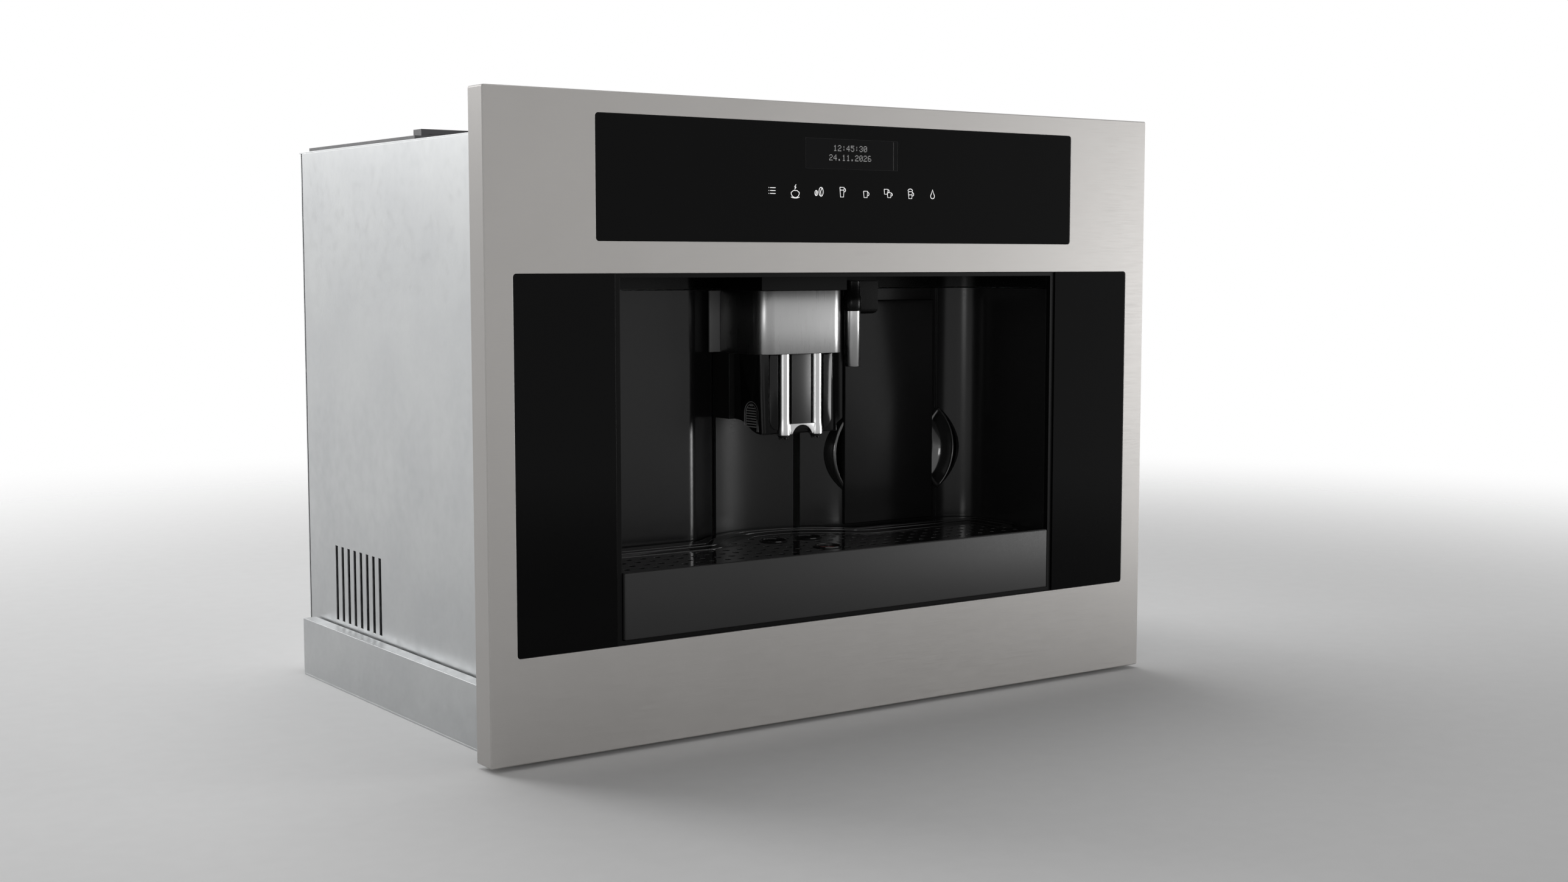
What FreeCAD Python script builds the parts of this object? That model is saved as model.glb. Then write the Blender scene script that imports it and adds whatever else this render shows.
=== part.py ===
"""A built-in bean-to-cup coffee machine on telescopic runners, 60 cm wide.

Millimetres. +X is to the machine's right as seen from the front, the front faces -Y and +Z is up.
The origin is the middle of the footprint, on the underside of the runner plate.
A depth is measured back from the plane of the steel front.
"""
import FreeCAD, Part
import math
import os
import re
import Sketcher
from FreeCAD import Placement, Rotation, Vector

SIZES = {
    # the whole machine
    "depth": 396, "body_width": 530, "body_low": 10, "cover_drop": 25, "steel_sheet": 1,
    "cover_sheet": 1.2, "slide_gap": 0.3, "inlet_flange": 3,
    # steel front
    "fascia_width": 595, "fascia_lift": 3, "fascia_edge": 20,
    "fascia_sheet": 2, "fascia_wall": 1.5, "fascia_bevel": 0.7, "fascia_corner": 1.5,
    "top_band": 14.4, "middle_band": 21.4, "bottom_band": 71.2, "control_width": 430, "control_height": 85,
    "window_width": 554, "window_height": 254, "window_corner": 2.5,
    # glass and the frame that it is glued to
    "glass_sink": 0.3, "glass_thick": 4, "glass_gap": 0.3, "frame_thick": 11.7, "frame_inset": 0.3,
    "screen_width": 76.4, "screen_height": 18, "screen_rise": 12.2, "screen_border": 4,
    "board_width": 350, "board_height": 66, "board_thick": 1.6,
    # niche
    "niche_width": 392, "niche_front": 6, "wall_thick": 2.5, "flat_depth": 104, "corner_bend": 29,
    "recess_bend": 100, "recess_depth": 34, "shoulder_bend": 15, "groove_mid": 39.5,
    "groove_width": 5, "header_high": 16.5, "header_gap": 0.8, "ceiling_rise": 3.8,
    "ceiling_thick": 2.5, "rim_width": 3.9, "rim_sink": 1.5, "shelf_thick": 3.2, "glass_split": 400,
    "bulkhead_depth": 142, "bulkhead_thick": 2.5,
    # coffee spout
    "head_width": 79, "head_front": 60, "head_back": 116, "head_low": 266.5, "head_top": 314.5,
    "head_wall": 2, "head_bend": 12, "column_low": 216, "column_front": 104.2, "spout_width": 70,
    "spout_face": 66, "spout_low": 206, "spout_rear_low": 216, "spout_top": 281, "spout_bend": 10,
    "spout_back": 103.8, "rod_space": 30.2, "rod_width": 8.8, "rod_flare": 2, "flare_high": 6, "rod_depth": 66.8,
    "rod_low": 204.7,
    "bridge_low": 205.5, "bridge_top": 213.5, "arch_bend": 9.5, "tip_width": 8, "tip_low": 201.7,
    "grip_near": 70, "grip_wide": 21, "grip_low": 210.5, "grip_high": 20, "grip_rib": 1.1,
    # hot water outlet
    "outlet_left": 46, "outlet_width": 34, "outlet_front": 73, "outlet_back": 92, "outlet_low": 295.5,
    "outlet_top": 321, "outlet_bend": 5, "boss_across": 14, "boss_low": 298, "tube_across": 12.6,
    "tube_bore": 8, "tube_low": 255,
    "tube_depth": 70, "tube_x": 52.5, "socket_back": 103.7, "socket_low": 300,
    # drip tray
    "tray_half": 194.5, "tray_low": 77.7, "tray_top": 123.9, "tray_front_thick": 4,
    "tray_bevel": 0.8, "tray_inset": 4.5, "tray_wall": 2.5, "grille_low": 121, "grille_top": 123,
    "grille_rim_top": 124.8, "rim_side": 178, "rim_start": 38, "rim_line": 69, "rim_ring": 73,
    "hole_across": 4, "hole_pitch_x": 12, "hole_pitch_y": 12.6, "hole_first": 19.1,
    "hole_shift": -2, "big_hole": 20, "big_x": 16.3, "big_depth": 78.5, "drawer_clear": 3,
    "float_depth": 31,
    "float_across": 17, "float_top": 121.8, "post_across": 6, "post_top": 112,
    # grounds drawer
    "panel_left": 68.5, "panel_width": 90, "panel_low": 126.4, "panel_top": 305.5,
    "panel_front": 100, "panel_thick": 3.7, "panel_bevel": 1, "notch_gap": 1, "bin_side": 14.5,
    "bin_low": 132.3, "bin_top": 262, "bin_depth": 106, "bin_wall": 2, "bin_fit": 0.3, "opening_top": 270,
    # finger scoops
    "scoop_height": 68, "scoop_bulge": 17.5, "scoop_lip": 2.5, "scoop_proud": 0.8, "scoop_deep": 16,
    "right_scoop_x": 167.5, "left_scoop_x": 76, "scoop_z": 183, "scoop_floor": 2, "bowl_bend": 42,
    # runners
    "rail_thick": 12.7, "rail_height": 45, "rail_wall": 1.2, "rail_front": 24, "rail_length": 350,
    "rail_gap": 0.3, "plate_thick": 1.5, "plate_front": 40, "screw_hole": 5.2,
    "screw_space_x": 400, "screw_space_y": 240,
    # water tank
    "tank_left": -256, "tank_width": 92, "tank_length": 194, "tank_back_gap": 11, "tank_low": 249.3,
    "tank_wall": 2.5, "tank_fit": 1.5, "lid_thick": 3, "tank_corner": 10,
    "lid_over": 3.5,
    # beans, grinder and powder
    "hopper_left": 95, "hopper_width": 124, "hopper_front": 196, "hopper_length": 136,
    "hopper_wall": 2, "hopper_rim": 6, "rim_thick": 2, "hopper_neck": 46, "neck_low": 346,
    "bean_lid": 4, "grinder_across": 92, "grinder_low": 285, "grinder_wall": 4, "burr_across": 52,
    "motor_across": 64, "motor_low": 200.3, "knob_x": 238, "knob_depth": 150, "knob_across": 40,
    "knob_high": 11, "knob_shaft": 8, "funnel_x": 0, "funnel_depth": 190, "funnel_size": 48,
    "funnel_neck": 30, "funnel_low": 301, "flap_thick": 3, "spoon_x": -110, "spoon_depth": 85,
    "spoon_across": 40, "spoon_deep": 24, "spoon_wall": 1.6, "spoon_handle": 78,
    "switch_x": 200, "switch_depth": 75, "switch_width": 14, "switch_length": 24,
    "rocker_bend": 17,
    # the works
    "brew_width": 92, "brew_length": 100, "brew_low": 120, "brew_top": 300, "boiler_width": 110,
    "boiler_length": 60, "boiler_depth": 268, "boiler_low": 120, "boiler_top": 230,
    "pump_across": 48, "pump_length": 96, "pump_x": 150, "pump_depth": 250, "hose_across": 6,
    "inlet_x": 190, "inlet_z": 60, "inlet_width": 50, "inlet_height": 28, "cover_screw": 3,
    "screw_half": 250, "screw_front": 16, "screw_back": 3.8,
}

# Places that follow from the sizes, each a formula in plain names.
PLACES = {
    "front_y": "-depth / 2",
    "back_depth": "depth - inlet_flange",
    "fascia_half": "fascia_width / 2",
    "fascia_height": "top_band + control_height + middle_band + window_height + bottom_band",
    "fascia_top": "fascia_lift + fascia_height",
    "control_top": "fascia_top - top_band",
    "control_low": "control_top - control_height",
    "window_low": "fascia_lift + bottom_band",
    "window_top": "window_low + window_height",
    "window_half": "window_width / 2",
    "split_half": "glass_split / 2",
    "ceiling_low": "window_top + ceiling_rise",
    "header_low": "ceiling_low - header_high",
    "niche_half": "niche_width / 2",
    "shell_half": "niche_half + wall_thick",
    "frame_front": "glass_sink + glass_thick",
    "frame_back": "frame_front + frame_thick",
    "frame_half": "fascia_half - fascia_wall - frame_inset",
    "shelf_top": "tray_low - slide_gap",
    "body_half": "body_width / 2",
    "body_top": "fascia_top - cover_drop",
    "tank_front": "back_depth - tank_back_gap - tank_length",
    "tank_top": "body_top + slide_gap",
    "pan_half": "body_half - steel_sheet",
    "cover_low": "body_top - cover_sheet",
    "rear_inner": "back_depth - steel_sheet",
    "bulkhead_back": "bulkhead_depth + bulkhead_thick",
    "inner_half": "pan_half - steel_sheet - slide_gap",
    "pan_floor": "body_low + steel_sheet",
    "rail_outer": "body_half + rail_thick",
    "screen_low": "control_top - screen_rise - screen_height",
    "board_low": "control_low + 4",
    "chassis_front": "frame_back",
    "rest_low": "cover_low - 0.3",
    "opening_low": "bin_low - bin_fit",
    "opening_left": "panel_left + bin_side - bin_fit",
    "opening_width": "panel_width - 2 * bin_side + 2 * bin_fit",
}


def begin():
    """The document with its sheet of driving sizes and the places worked out from them."""
    document = FreeCAD.newDocument("BuiltInCoffeeMachine")
    cells = document.addObject("Spreadsheet::Sheet", "Sizes")
    for row, (word, size) in enumerate(SIZES.items(), 1):
        cells.set(f"A{row}", word)
        cells.set(f"B{row}", str(size))
        cells.setAlias(f"B{row}", word)
    document.recompute()
    derived = document.addObject("App::VarSet", "Places")
    for word in PLACES:
        derived.addProperty("App::PropertyFloat", word)
    for word, text in PLACES.items():
        derived.setExpression(word, formula(text))
    document.recompute()
    return document, cells, derived


def formula(text):
    """A formula in plain names, as the document's own expressions write it."""
    def full_name(found):
        word = found.group()
        if word in SIZES:
            return "Sizes." + word
        return "Places." + word if word in PLACES else word
    return re.sub(r"[a-z][a-z_0-9]*", full_name, str(text))


def mm(word):
    """The number behind a size or a place."""
    return float(sheet.get(word)) if word in SIZES else getattr(places, word)


def bind(thing, **formulas):
    """Ties each named property of a feature to a formula."""
    for name, text in formulas.items():
        thing.setExpression(name, formula(text))
    return thing


def put(thing, x, deep, z):
    """Places a feature by its corner: across, back from the front plane, and up."""
    thing.setExpression(".Placement.Base.x", formula(x))
    thing.setExpression(".Placement.Base.y", formula(f"front_y + {deep}"))
    thing.setExpression(".Placement.Base.z", formula(z))
    return thing


def box(x, deep, z, wide, back, high):
    """A block from its corner and its three sizes."""
    block = doc.addObject("Part::Box", "Block")
    bind(block, Length=wide, Width=back, Height=high)
    return put(block, x, deep, z)


TURNS = {"Z": Rotation(), "Y": Rotation(Vector(1, 0, 0), -90), "X": Rotation(Vector(0, 1, 0), 90)}


def rod(x, deep, z, across, long, axis="Z"):
    """A round bar of a stated diameter that starts at a point and runs along an axis."""
    bar = doc.addObject("Part::Cylinder", "Rod")
    bar.Placement = Placement(Vector(), TURNS[axis])
    bind(bar, Radius=f"({across}) / 2", Height=long)
    return put(bar, x, deep, z)


def join(*parts):
    """One solid out of parts that touch or overlap."""
    if len(parts) == 1:
        return parts[0]
    whole = doc.addObject("Part::MultiFuse", "Join")
    whole.Shapes = list(parts)
    whole.Refine = True
    return whole


def cut(base, *tools):
    """The base with every tool taken away."""
    left = doc.addObject("Part::Cut", "Cut")
    left.Base = base
    left.Tool = join(*tools)
    left.Refine = True
    return left


def common(first, second):
    """What two solids share."""
    shared = doc.addObject("Part::Common", "Common")
    shared.Base = first
    shared.Tool = second
    return shared


def rounded(base, radius, chosen):
    """The base with a fillet on each edge that the test chooses."""
    doc.recompute()
    edges = [n for n, edge in enumerate(base.Shape.Edges, 1) if chosen(edge)]
    soft = doc.addObject("Part::Fillet", "Fillet")
    soft.Base = base
    soft.Edges = [(n, mm(radius), mm(radius)) for n in edges]
    return soft


def solid(shape):
    """A feature that holds a shape drawn back from the front plane."""
    feature = doc.addObject("Part::Feature", "Form")
    feature.Shape = shape
    feature.Placement = Placement(Vector(0, mm("front_y"), 0), Rotation())
    return feature


def along(edge, axis):
    """Whether an edge is straight and runs along an axis."""
    if edge.Curve.TypeId != "Part::GeomLine":
        return False
    return abs(abs(edge.Curve.Direction.dot(axis)) - 1) < 1e-6


def upright(edge):
    return along(edge, Vector(0, 0, 1))


def endwise(edge):
    return along(edge, Vector(0, 1, 0))


def piece(feature, name):
    """Names the finished sub-part."""
    feature.Label = name
    pieces.append(feature)
    return feature


# ---------------------------------------------------------------- sheet and panel bodies

def body_at(name, x, deep, z):
    """An empty body whose own origin is the low left front corner of its block."""
    body = doc.addObject("PartDesign::Body", "Body")
    put(body, x, deep, z)
    return piece(body, name)


def outline(body, plane, left, low, wide, high, start="0"):
    """A rectangle on one of the body's own planes, its place and size tied to formulas."""
    sketch = body.newObject("Sketcher::SketchObject", "Outline")
    role = plane + "_Plane"
    face = [item for item in body.Origin.OriginFeatures if item.Role == role][0]
    sketch.AttachmentSupport = [(face, "")]
    sketch.MapMode = "FlatFace"
    inward = "-1" if plane == "XZ" else "1"
    sketch.setExpression(".AttachmentOffset.Base.z", formula(f"{inward} * ({start})"))
    corner = [Vector(0, 0), Vector(9, 0), Vector(9, 9), Vector(0, 9)]
    for n in range(4):
        sketch.addGeometry(Part.LineSegment(corner[n], corner[(n + 1) % 4]))
    for n in range(4):
        sketch.addConstraint(Sketcher.Constraint("Coincident", n, 2, (n + 1) % 4, 1))
        sketch.addConstraint(Sketcher.Constraint("Vertical" if n % 2 else "Horizontal", n))
    limits = [("DistanceX", 0, 1, 0, 2, wide), ("DistanceY", 1, 1, 1, 2, high)]
    for kind, line, end, other, far, text in limits:
        number = sketch.addConstraint(Sketcher.Constraint(kind, line, end, other, far, 9.0))
        sketch.setExpression(f"Constraints[{number}]", formula(text))
    for kind, text in (("DistanceX", left), ("DistanceY", low)):
        if text == "0":
            sketch.addConstraint(Sketcher.Constraint("PointOnObject", 0, 1,
                                                     -2 if kind == "DistanceX" else -1))
        else:
            number = sketch.addConstraint(Sketcher.Constraint(kind, -1, 1, 0, 1, 1.0))
            sketch.setExpression(f"Constraints[{number}]", formula(text))
    return sketch


def grow(body, sketch, plane, length):
    """A pad from the sketch into the body's own positive quarter."""
    pad = body.newObject("PartDesign::Pad", "Pad")
    pad.Profile = sketch
    pad.Reversed = plane == "XZ"
    return bind(pad, Length=length)


def carve(body, sketch, plane, length):
    """A pocket from the sketch the same way as the pad went."""
    pocket = body.newObject("PartDesign::Pocket", "Pocket")
    pocket.Profile = sketch
    pocket.Reversed = plane != "XZ"
    return bind(pocket, Length=length)


def soften(body, kind, size, chosen):
    """A fillet or a chamfer on the edges of the body's tip that the test chooses."""
    doc.recompute()
    base = body.Tip
    names = [f"Edge{n}" for n, edge in enumerate(base.Shape.Edges, 1) if chosen(edge)]
    edge = body.newObject("PartDesign::" + kind, kind)
    edge.Base = (base, names)
    return bind(edge, **{"Radius" if kind == "Fillet" else "Size": size})


def plate(name, plane, x, deep, z, wide, high, thick, holes=()):
    """A flat sheet with rectangular holes, each given from the sheet's own low left corner."""
    body = body_at(name, x, deep, z)
    grow(body, outline(body, plane, "0", "0", wide, high), plane, thick)
    for left, low, hole_wide, hole_high in holes:
        carve(body, outline(body, plane, left, low, hole_wide, hole_high), plane, thick)
    return body


# ---------------------------------------------------------------- niche outline

def niche_edges(gap, end_x):
    """The right half of the niche wall's outline, moved into the niche by a gap.

    It runs back along the side, round the corner, along the flat, over the shoulder and into the
    round recess, up to end_x from the middle.
    """
    side, flat, bend = mm("niche_half"), mm("flat_depth"), mm("corner_bend")
    recess, deep, shoulder = mm("recess_bend"), mm("recess_depth"), mm("shoulder_bend")
    corner = Vector(side - bend, flat - bend)
    centre = Vector(0, deep)
    turn = Vector(math.sqrt((recess + shoulder) ** 2 - (flat + shoulder - deep) ** 2), flat + shoulder)
    to_recess = (centre - turn).normalize()
    inner = recess - gap
    start = Vector(side - gap, mm("niche_front"))
    before = Vector(side - gap, corner.y)
    after = Vector(corner.x, flat - gap)
    edge_on = Vector(turn.x, flat - gap)
    meet = turn + to_recess * (shoulder + gap)
    last = Vector(end_x, deep + math.sqrt(inner ** 2 - end_x ** 2))
    half_way = (Vector(1, 1)).normalize() * (bend - gap)
    over = (to_recess + Vector(0, -1)).normalize() * (shoulder + gap)
    round_mid = ((meet - centre) + (last - centre)).normalize() * inner
    return [Part.makeLine(start, before), Part.Arc(before, corner + half_way, after).toShape(),
            Part.makeLine(after, edge_on), Part.Arc(edge_on, turn + over, meet).toShape(),
            Part.Arc(meet, centre + round_mid, last).toShape()]


def run_points(gap, end_x):
    """Where such an outline starts and ends."""
    side_start = Vector(mm("niche_half") - gap, mm("niche_front"))
    inner = mm("recess_bend") - gap
    return side_start, Vector(end_x, mm("recess_depth") + math.sqrt(inner ** 2 - end_x ** 2))


def mirrored(shape):
    return shape.mirror(Vector(), Vector(1, 0, 0))


def half_wall(end_x, low, high):
    """The right half of the wall as a bent sheet between two heights."""
    thick = mm("wall_thick")
    inner, outer = niche_edges(0, end_x), niche_edges(-thick, end_x)
    inner_start, inner_end = run_points(0, end_x)
    outer_start, outer_end = run_points(-thick, end_x)
    rim = [Part.makeLine(inner_start, outer_start), Part.makeLine(inner_end, outer_end)]
    face = Part.Face(Part.Wire(Part.sortEdges(inner + outer + rim)[0]))
    face.translate(Vector(0, 0, low))
    return face.extrude(Vector(0, 0, high - low))


def niche_area(gap, front, low, high):
    """The room that the niche wall leaves at a gap, from a front depth to the wall."""
    edges = niche_edges(gap, 0)
    start, finish = run_points(gap, 0)
    floor_start = Vector(start.x, front)
    edges[0] = Part.makeLine(floor_start, Vector(start.x, mm("flat_depth") - mm("corner_bend")))
    edges += [Part.makeLine(finish, Vector(0, front)), Part.makeLine(Vector(0, front), floor_start)]
    face = Part.Face(Part.Wire(Part.sortEdges(edges)[0]))
    face.translate(Vector(0, 0, low))
    half = face.extrude(Vector(0, 0, high - low))
    return half.fuse(mirrored(half)).removeSplitter()


def block(x, deep, z, wide, back, high):
    """A plain block as a shape, for use with shapes drawn here."""
    return Part.makeBox(wide, back, high, Vector(x, deep, z))


def bar(x, deep, z, across, long, way=Vector(0, 0, 1)):
    """A plain round bar as a shape."""
    return Part.makeCylinder(across / 2, long, Vector(x, deep, z), way)


def prism(x, deep, z, across, long, sides, way=Vector(0, 0, 1)):
    """A bar with flat sides, as far across its flats as stated, as a shape."""
    face = Part.Face(polygon(across / math.cos(math.pi / sides), sides))
    turned = face.extrude(Vector(0, 0, long))
    turned.Placement = Placement(Vector(x, deep, z), Rotation(Vector(0, 0, 1), way))
    return turned


def polygon(across, sides):
    """A closed ring of straight lines with its corners on a circle, one flat side level."""
    step = 2 * math.pi / sides
    return Part.makePolygon([Vector(across / 2 * math.sin((n + 0.5) * step),
                                    across / 2 * math.cos((n + 0.5) * step), 0)
                             for n in range(sides + 1)])


# ---------------------------------------------------------------- the steel front

def steel_front():
    """A folded stainless sheet with returned edges and two windows."""
    body = body_at("front_fascia", "-fascia_half", "0", "fascia_lift")
    sheet_in = outline(body, "XZ", "0", "0", "fascia_width", "fascia_height")
    grow(body, sheet_in, "XZ", "fascia_edge")
    soften(body, "Fillet", "fascia_corner", endwise)
    inside = outline(body, "XZ", "fascia_wall", "fascia_wall", "fascia_width - 2 * fascia_wall",
                     "fascia_height - 2 * fascia_wall", "fascia_sheet")
    carve(body, inside, "XZ", "fascia_edge")
    windows = (
        ("(fascia_width - control_width) / 2", "control_low - fascia_lift", "control_width",
         "control_height"),
        ("(fascia_width - window_width) / 2", "bottom_band", "window_width", "window_height"))
    for left, low, wide, high in windows:
        carve(body, outline(body, "XZ", left, low, wide, high), "XZ", "fascia_sheet")
        doc.recompute()
    inner_x = (mm("fascia_width") - mm("fascia_wall") * 2) / 2 - 1

    def window_corner(edge):
        middle = edge.CenterOfMass
        from_centre = abs(middle.x - mm("fascia_half"))
        return endwise(edge) and from_centre < inner_x and edge.Length < mm("fascia_sheet") + 0.1
    soften(body, "Fillet", "window_corner", window_corner)

    def front_rim(edge):
        middle = edge.CenterOfMass
        across = abs(middle.x - mm("fascia_half")) > mm("fascia_half") - 1
        up_down = abs(middle.z - mm("fascia_height") / 2) > mm("fascia_height") / 2 - 1
        return abs(middle.y) < 1e-6 and (across or up_down)
    soften(body, "Chamfer", "fascia_bevel", front_rim)


def glass_panes():
    """The control glass and the two side glasses, each set in its window with a small gap."""
    panes = (
        ("control_glass", "-control_width / 2 + glass_gap", "control_low + glass_gap",
         "control_width - 2 * glass_gap", "control_height - 2 * glass_gap"),
        ("left_glass", "-window_half + glass_gap", "window_low + glass_gap",
         "window_half - split_half - 2 * glass_gap", "window_height - 2 * glass_gap"),
        ("right_glass", "split_half + glass_gap", "window_low + glass_gap",
         "window_half - split_half - 2 * glass_gap", "window_height - 2 * glass_gap"))
    for name, x, z, wide, high in panes:
        pane = plate(name, "XZ", x, "glass_sink", z, wide, high, "glass_thick")

        def in_window_corner(edge):
            middle = pane.Placement.Base.x + edge.CenterOfMass.x
            return endwise(edge) and abs(middle) > mm("split_half") + 1
        soften(pane, "Fillet", "window_corner - glass_gap", in_window_corner)


def front_frame():
    """The moulded frame behind the fascia: glass is glued to it and the niche passes through it."""
    plate("front_frame", "XZ", "-frame_half", "frame_front",
          "fascia_lift + fascia_wall + frame_inset", "2 * frame_half",
          "fascia_height - 2 * (fascia_wall + frame_inset)", "frame_thick",
          (("frame_half - split_half - glass_gap",
            "window_low - fascia_lift - fascia_wall - frame_inset",
            "glass_split + 2 * glass_gap", "ceiling_low + ceiling_thick + 0.5 - window_low"),
           ("frame_half - board_width / 2 + 8", "board_low + 8 - fascia_lift - fascia_wall"
            " - frame_inset", "board_width - 16", "control_height - 16")))


def control_parts():
    """The character display against the glass and the control board on the frame's back."""
    screen = box("-screen_width / 2", "frame_front", "screen_low", "screen_width", "3",
                 "screen_height")
    case = box("-screen_width / 2 - screen_border", "frame_front + 3",
               "screen_low - screen_border", "screen_width + 2 * screen_border", "frame_thick - 3.3",
               "screen_height + 2 * screen_border")
    piece(join(screen, case), "display_module")
    sheet_part = box("-board_width / 2", "frame_back", "board_low", "board_width", "board_thick",
                     "board_height")
    chips = [box(f"{x}", "frame_back + board_thick", "board_low + 12", "26", "7", "34")
             for x in (-140, -60, 50, 120)]
    piece(join(sheet_part, *chips), "control_board")


# ---------------------------------------------------------------- niche

def niche_walls():
    """Two bent wall halves that stop at the grooves, with the drawer's opening in the right one."""
    low, high = mm("shelf_top"), mm("header_low") - mm("header_gap")
    edge = mm("groove_mid") + mm("groove_width") / 2
    deep = mm("flat_depth")
    window = block(mm("opening_left"), deep - 6, mm("opening_low"), mm("opening_width"), 20,
                   mm("opening_top") - mm("opening_low"))
    right = half_wall(edge, low, high).cut(window)
    right = right.cut(scoop_prism("right_scoop_x", 0)).cut(scoop_prism("left_scoop_x", 0))
    piece(solid(right), "right_niche_wall")
    piece(solid(mirrored(half_wall(edge, low, high))), "left_niche_wall")


FLANK_SIDES = 32


def scoop_prism(centre, inset):
    """A lens standing on its point, bounded by two round flanks, that runs back through the wall."""
    high = mm("scoop_height") / 2
    bulge = mm("scoop_bulge")
    flank = (high ** 2 + bulge ** 2) / (2 * bulge)
    start, long = mm("flat_depth") - 12, 40
    x, z = mm(centre), mm("scoop_z")
    off = flank - bulge
    left = prism(x - off, start, z, 2 * (flank - inset), long, FLANK_SIDES, Vector(0, 1, 0))
    right = prism(x + off, start, z, 2 * (flank - inset), long, FLANK_SIDES, Vector(0, 1, 0))
    return left.common(right)


def finger_scoops():
    """Black finger bowls let into the wall beside the drawer, each open behind the drawer's edge."""
    deep = mm("flat_depth")
    back = deep + mm("scoop_deep")
    low, high = mm("scoop_z") - 60, mm("scoop_z") + 60
    room = block(0, deep - 30, low, mm("niche_half"), 30 + mm("scoop_deep"), high - low)
    ahead = block(0, 0, low - 1, mm("niche_half"), deep - mm("scoop_proud"), high - low + 2)
    body = room.cut(niche_area(mm("scoop_proud"), 0, low - 1, high + 1).common(ahead))
    hollow_high = mm("scoop_height") * 0.9
    bend = mm("bowl_bend")
    bowl = prism(0, deep - bend + mm("scoop_deep") - mm("scoop_floor"), mm("scoop_z"), 2 * bend,
                 mm("niche_half"), FLANK_SIDES, Vector(1, 0, 0))
    bowl = bowl.fuse(block(0, deep - 60, mm("scoop_z") - hollow_high / 2, mm("niche_half"),
                           60 - mm("scoop_deep") / 2, hollow_high))
    gap = mm("bin_fit")
    sides = {"left_scoop_x": (0, mm("opening_left") - gap),
             "right_scoop_x": (mm("opening_left") + mm("opening_width") + gap, mm("niche_half"))}
    for word, name in (("left_scoop_x", "left_finger_scoop"), ("right_scoop_x", "right_finger_scoop")):
        shell = body.common(scoop_prism(word, 0.2)).cut(scoop_prism(word, mm("scoop_lip")).common(bowl))
        near, far = sides[word]
        shell = shell.common(block(near, deep - 40, low, far - near, back, high - low))
        shell = shell.cut(block(mm("panel_left") - gap, 0, low, mm("panel_width") + 2 * gap,
                                mm("panel_front") + mm("panel_thick") + gap, high - low))
        piece(solid(largest(shell)), name)


def largest(shape):
    return sorted(shape.Solids, key=lambda part: part.Volume)[-1]


def spout_column():
    """The strip in the middle of the recess, with the column that carries the spout head."""
    inner, thick = mm("recess_bend"), mm("wall_thick")
    half = mm("groove_mid") - mm("groove_width") / 2
    low, high = mm("shelf_top"), mm("header_low") - mm("header_gap")
    centre = (0, mm("recess_depth"), low)
    ring = bar(*centre, 2 * (inner + thick), high - low).cut(bar(*centre, 2 * inner, high - low))
    strip = ring.common(block(-half, mm("flat_depth"), low, 2 * half, 60, high - low))
    front = mm("column_front")
    wide = mm("head_width") / 2
    wall_at = mm("recess_depth") + math.sqrt(inner ** 2 - half ** 2)
    lower = block(-wide, front, mm("column_low"), 2 * wide, wall_at - front,
                  mm("head_low") - mm("column_low") - 0.2)
    slim = wide - mm("head_wall")
    upper = block(-slim, front, mm("head_low") - 1, 2 * slim, wall_at - front, high - mm("head_low") + 1)
    fill = block(-half, front + 2, mm("column_low"), 2 * half, 40, high - mm("column_low"))
    fill = fill.common(bar(*centre, 2 * inner + 1, high - low))
    back = mm("head_back") + 0.2
    lug = block(-wide, back, mm("head_low") - 1, 2 * wide, wall_at - back, high - mm("head_low") + 1)
    piece(solid(strip.fuse([lower, upper, fill, lug]).removeSplitter()), "spout_column")


def header_and_ceiling():
    """The band above the walls and the plate on it, with the collar that the spout slides up in."""
    low, high = mm("header_low"), mm("ceiling_low")
    half = half_wall(0, low, high)
    piece(solid(half.fuse(mirrored(half)).removeSplitter()), "niche_header")
    top = high + mm("ceiling_thick")
    sheet_part = niche_area(-mm("wall_thick"), mm("niche_front"), high, top)
    wide, front, back = mm("head_width"), mm("head_front"), mm("head_back")
    wall = mm("head_wall")
    base = mm("head_top")
    collar = block(-wide / 2, front, base, wide, back - front, high - base)
    shaft = block(-wide / 2 + wall, front + wall, base - 1, wide - 2 * wall, back - front - wall + 1,
                  high - base + 10)
    left, size = mm("outlet_left"), mm("outlet_width")
    socket = block(left, mm("outlet_back") + 0.3, mm("socket_low"), mm("panel_left") - left - 2,
                   mm("socket_back") - mm("outlet_back") - 0.3, high - mm("socket_low"))
    boss = block(left + 2, mm("outlet_front"), mm("outlet_top") + 0.5, size - 4, 18,
                 high - mm("outlet_top") - 0.5)
    body = sheet_part.fuse([collar, socket, boss]).cut(shaft)
    for x in (-1, 1):
        body = body.cut(prism(x * 66, 62, high - 1, 22, 10, 16))
    piece(solid(body.removeSplitter()), "niche_ceiling")
    lamps = [prism(x * 66, 62, high - 0.6, 21.4, mm("ceiling_thick") + 0.6, 16).fuse(
        prism(x * 66, 62, top, 24, 6, 8)) for x in (-1, 1)]
    piece(solid(Part.makeCompound(lamps)), "niche_lamps")


def niche_rim():
    """The thin black frame that closes the gap between the glasses and the niche walls."""
    plate("niche_rim", "XZ", "-niche_half - rim_width", "rim_sink", "window_low + glass_gap",
          "niche_width + 2 * rim_width", "window_height - 2 * glass_gap", "niche_front - rim_sink",
          (("rim_width", "shelf_top - window_low - glass_gap", "niche_width",
            "window_top - glass_gap - rim_width - shelf_top + 1"),))


def tray_shelf():
    """The shelf that the drip tray slides on and the niche walls stand on."""
    box_part = box("-shell_half", "niche_front", "shelf_top - shelf_thick", "2 * shell_half",
                   "bulkhead_depth - niche_front", "shelf_thick")
    piece(box_part, "tray_shelf")


# ---------------------------------------------------------------- spout

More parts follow.
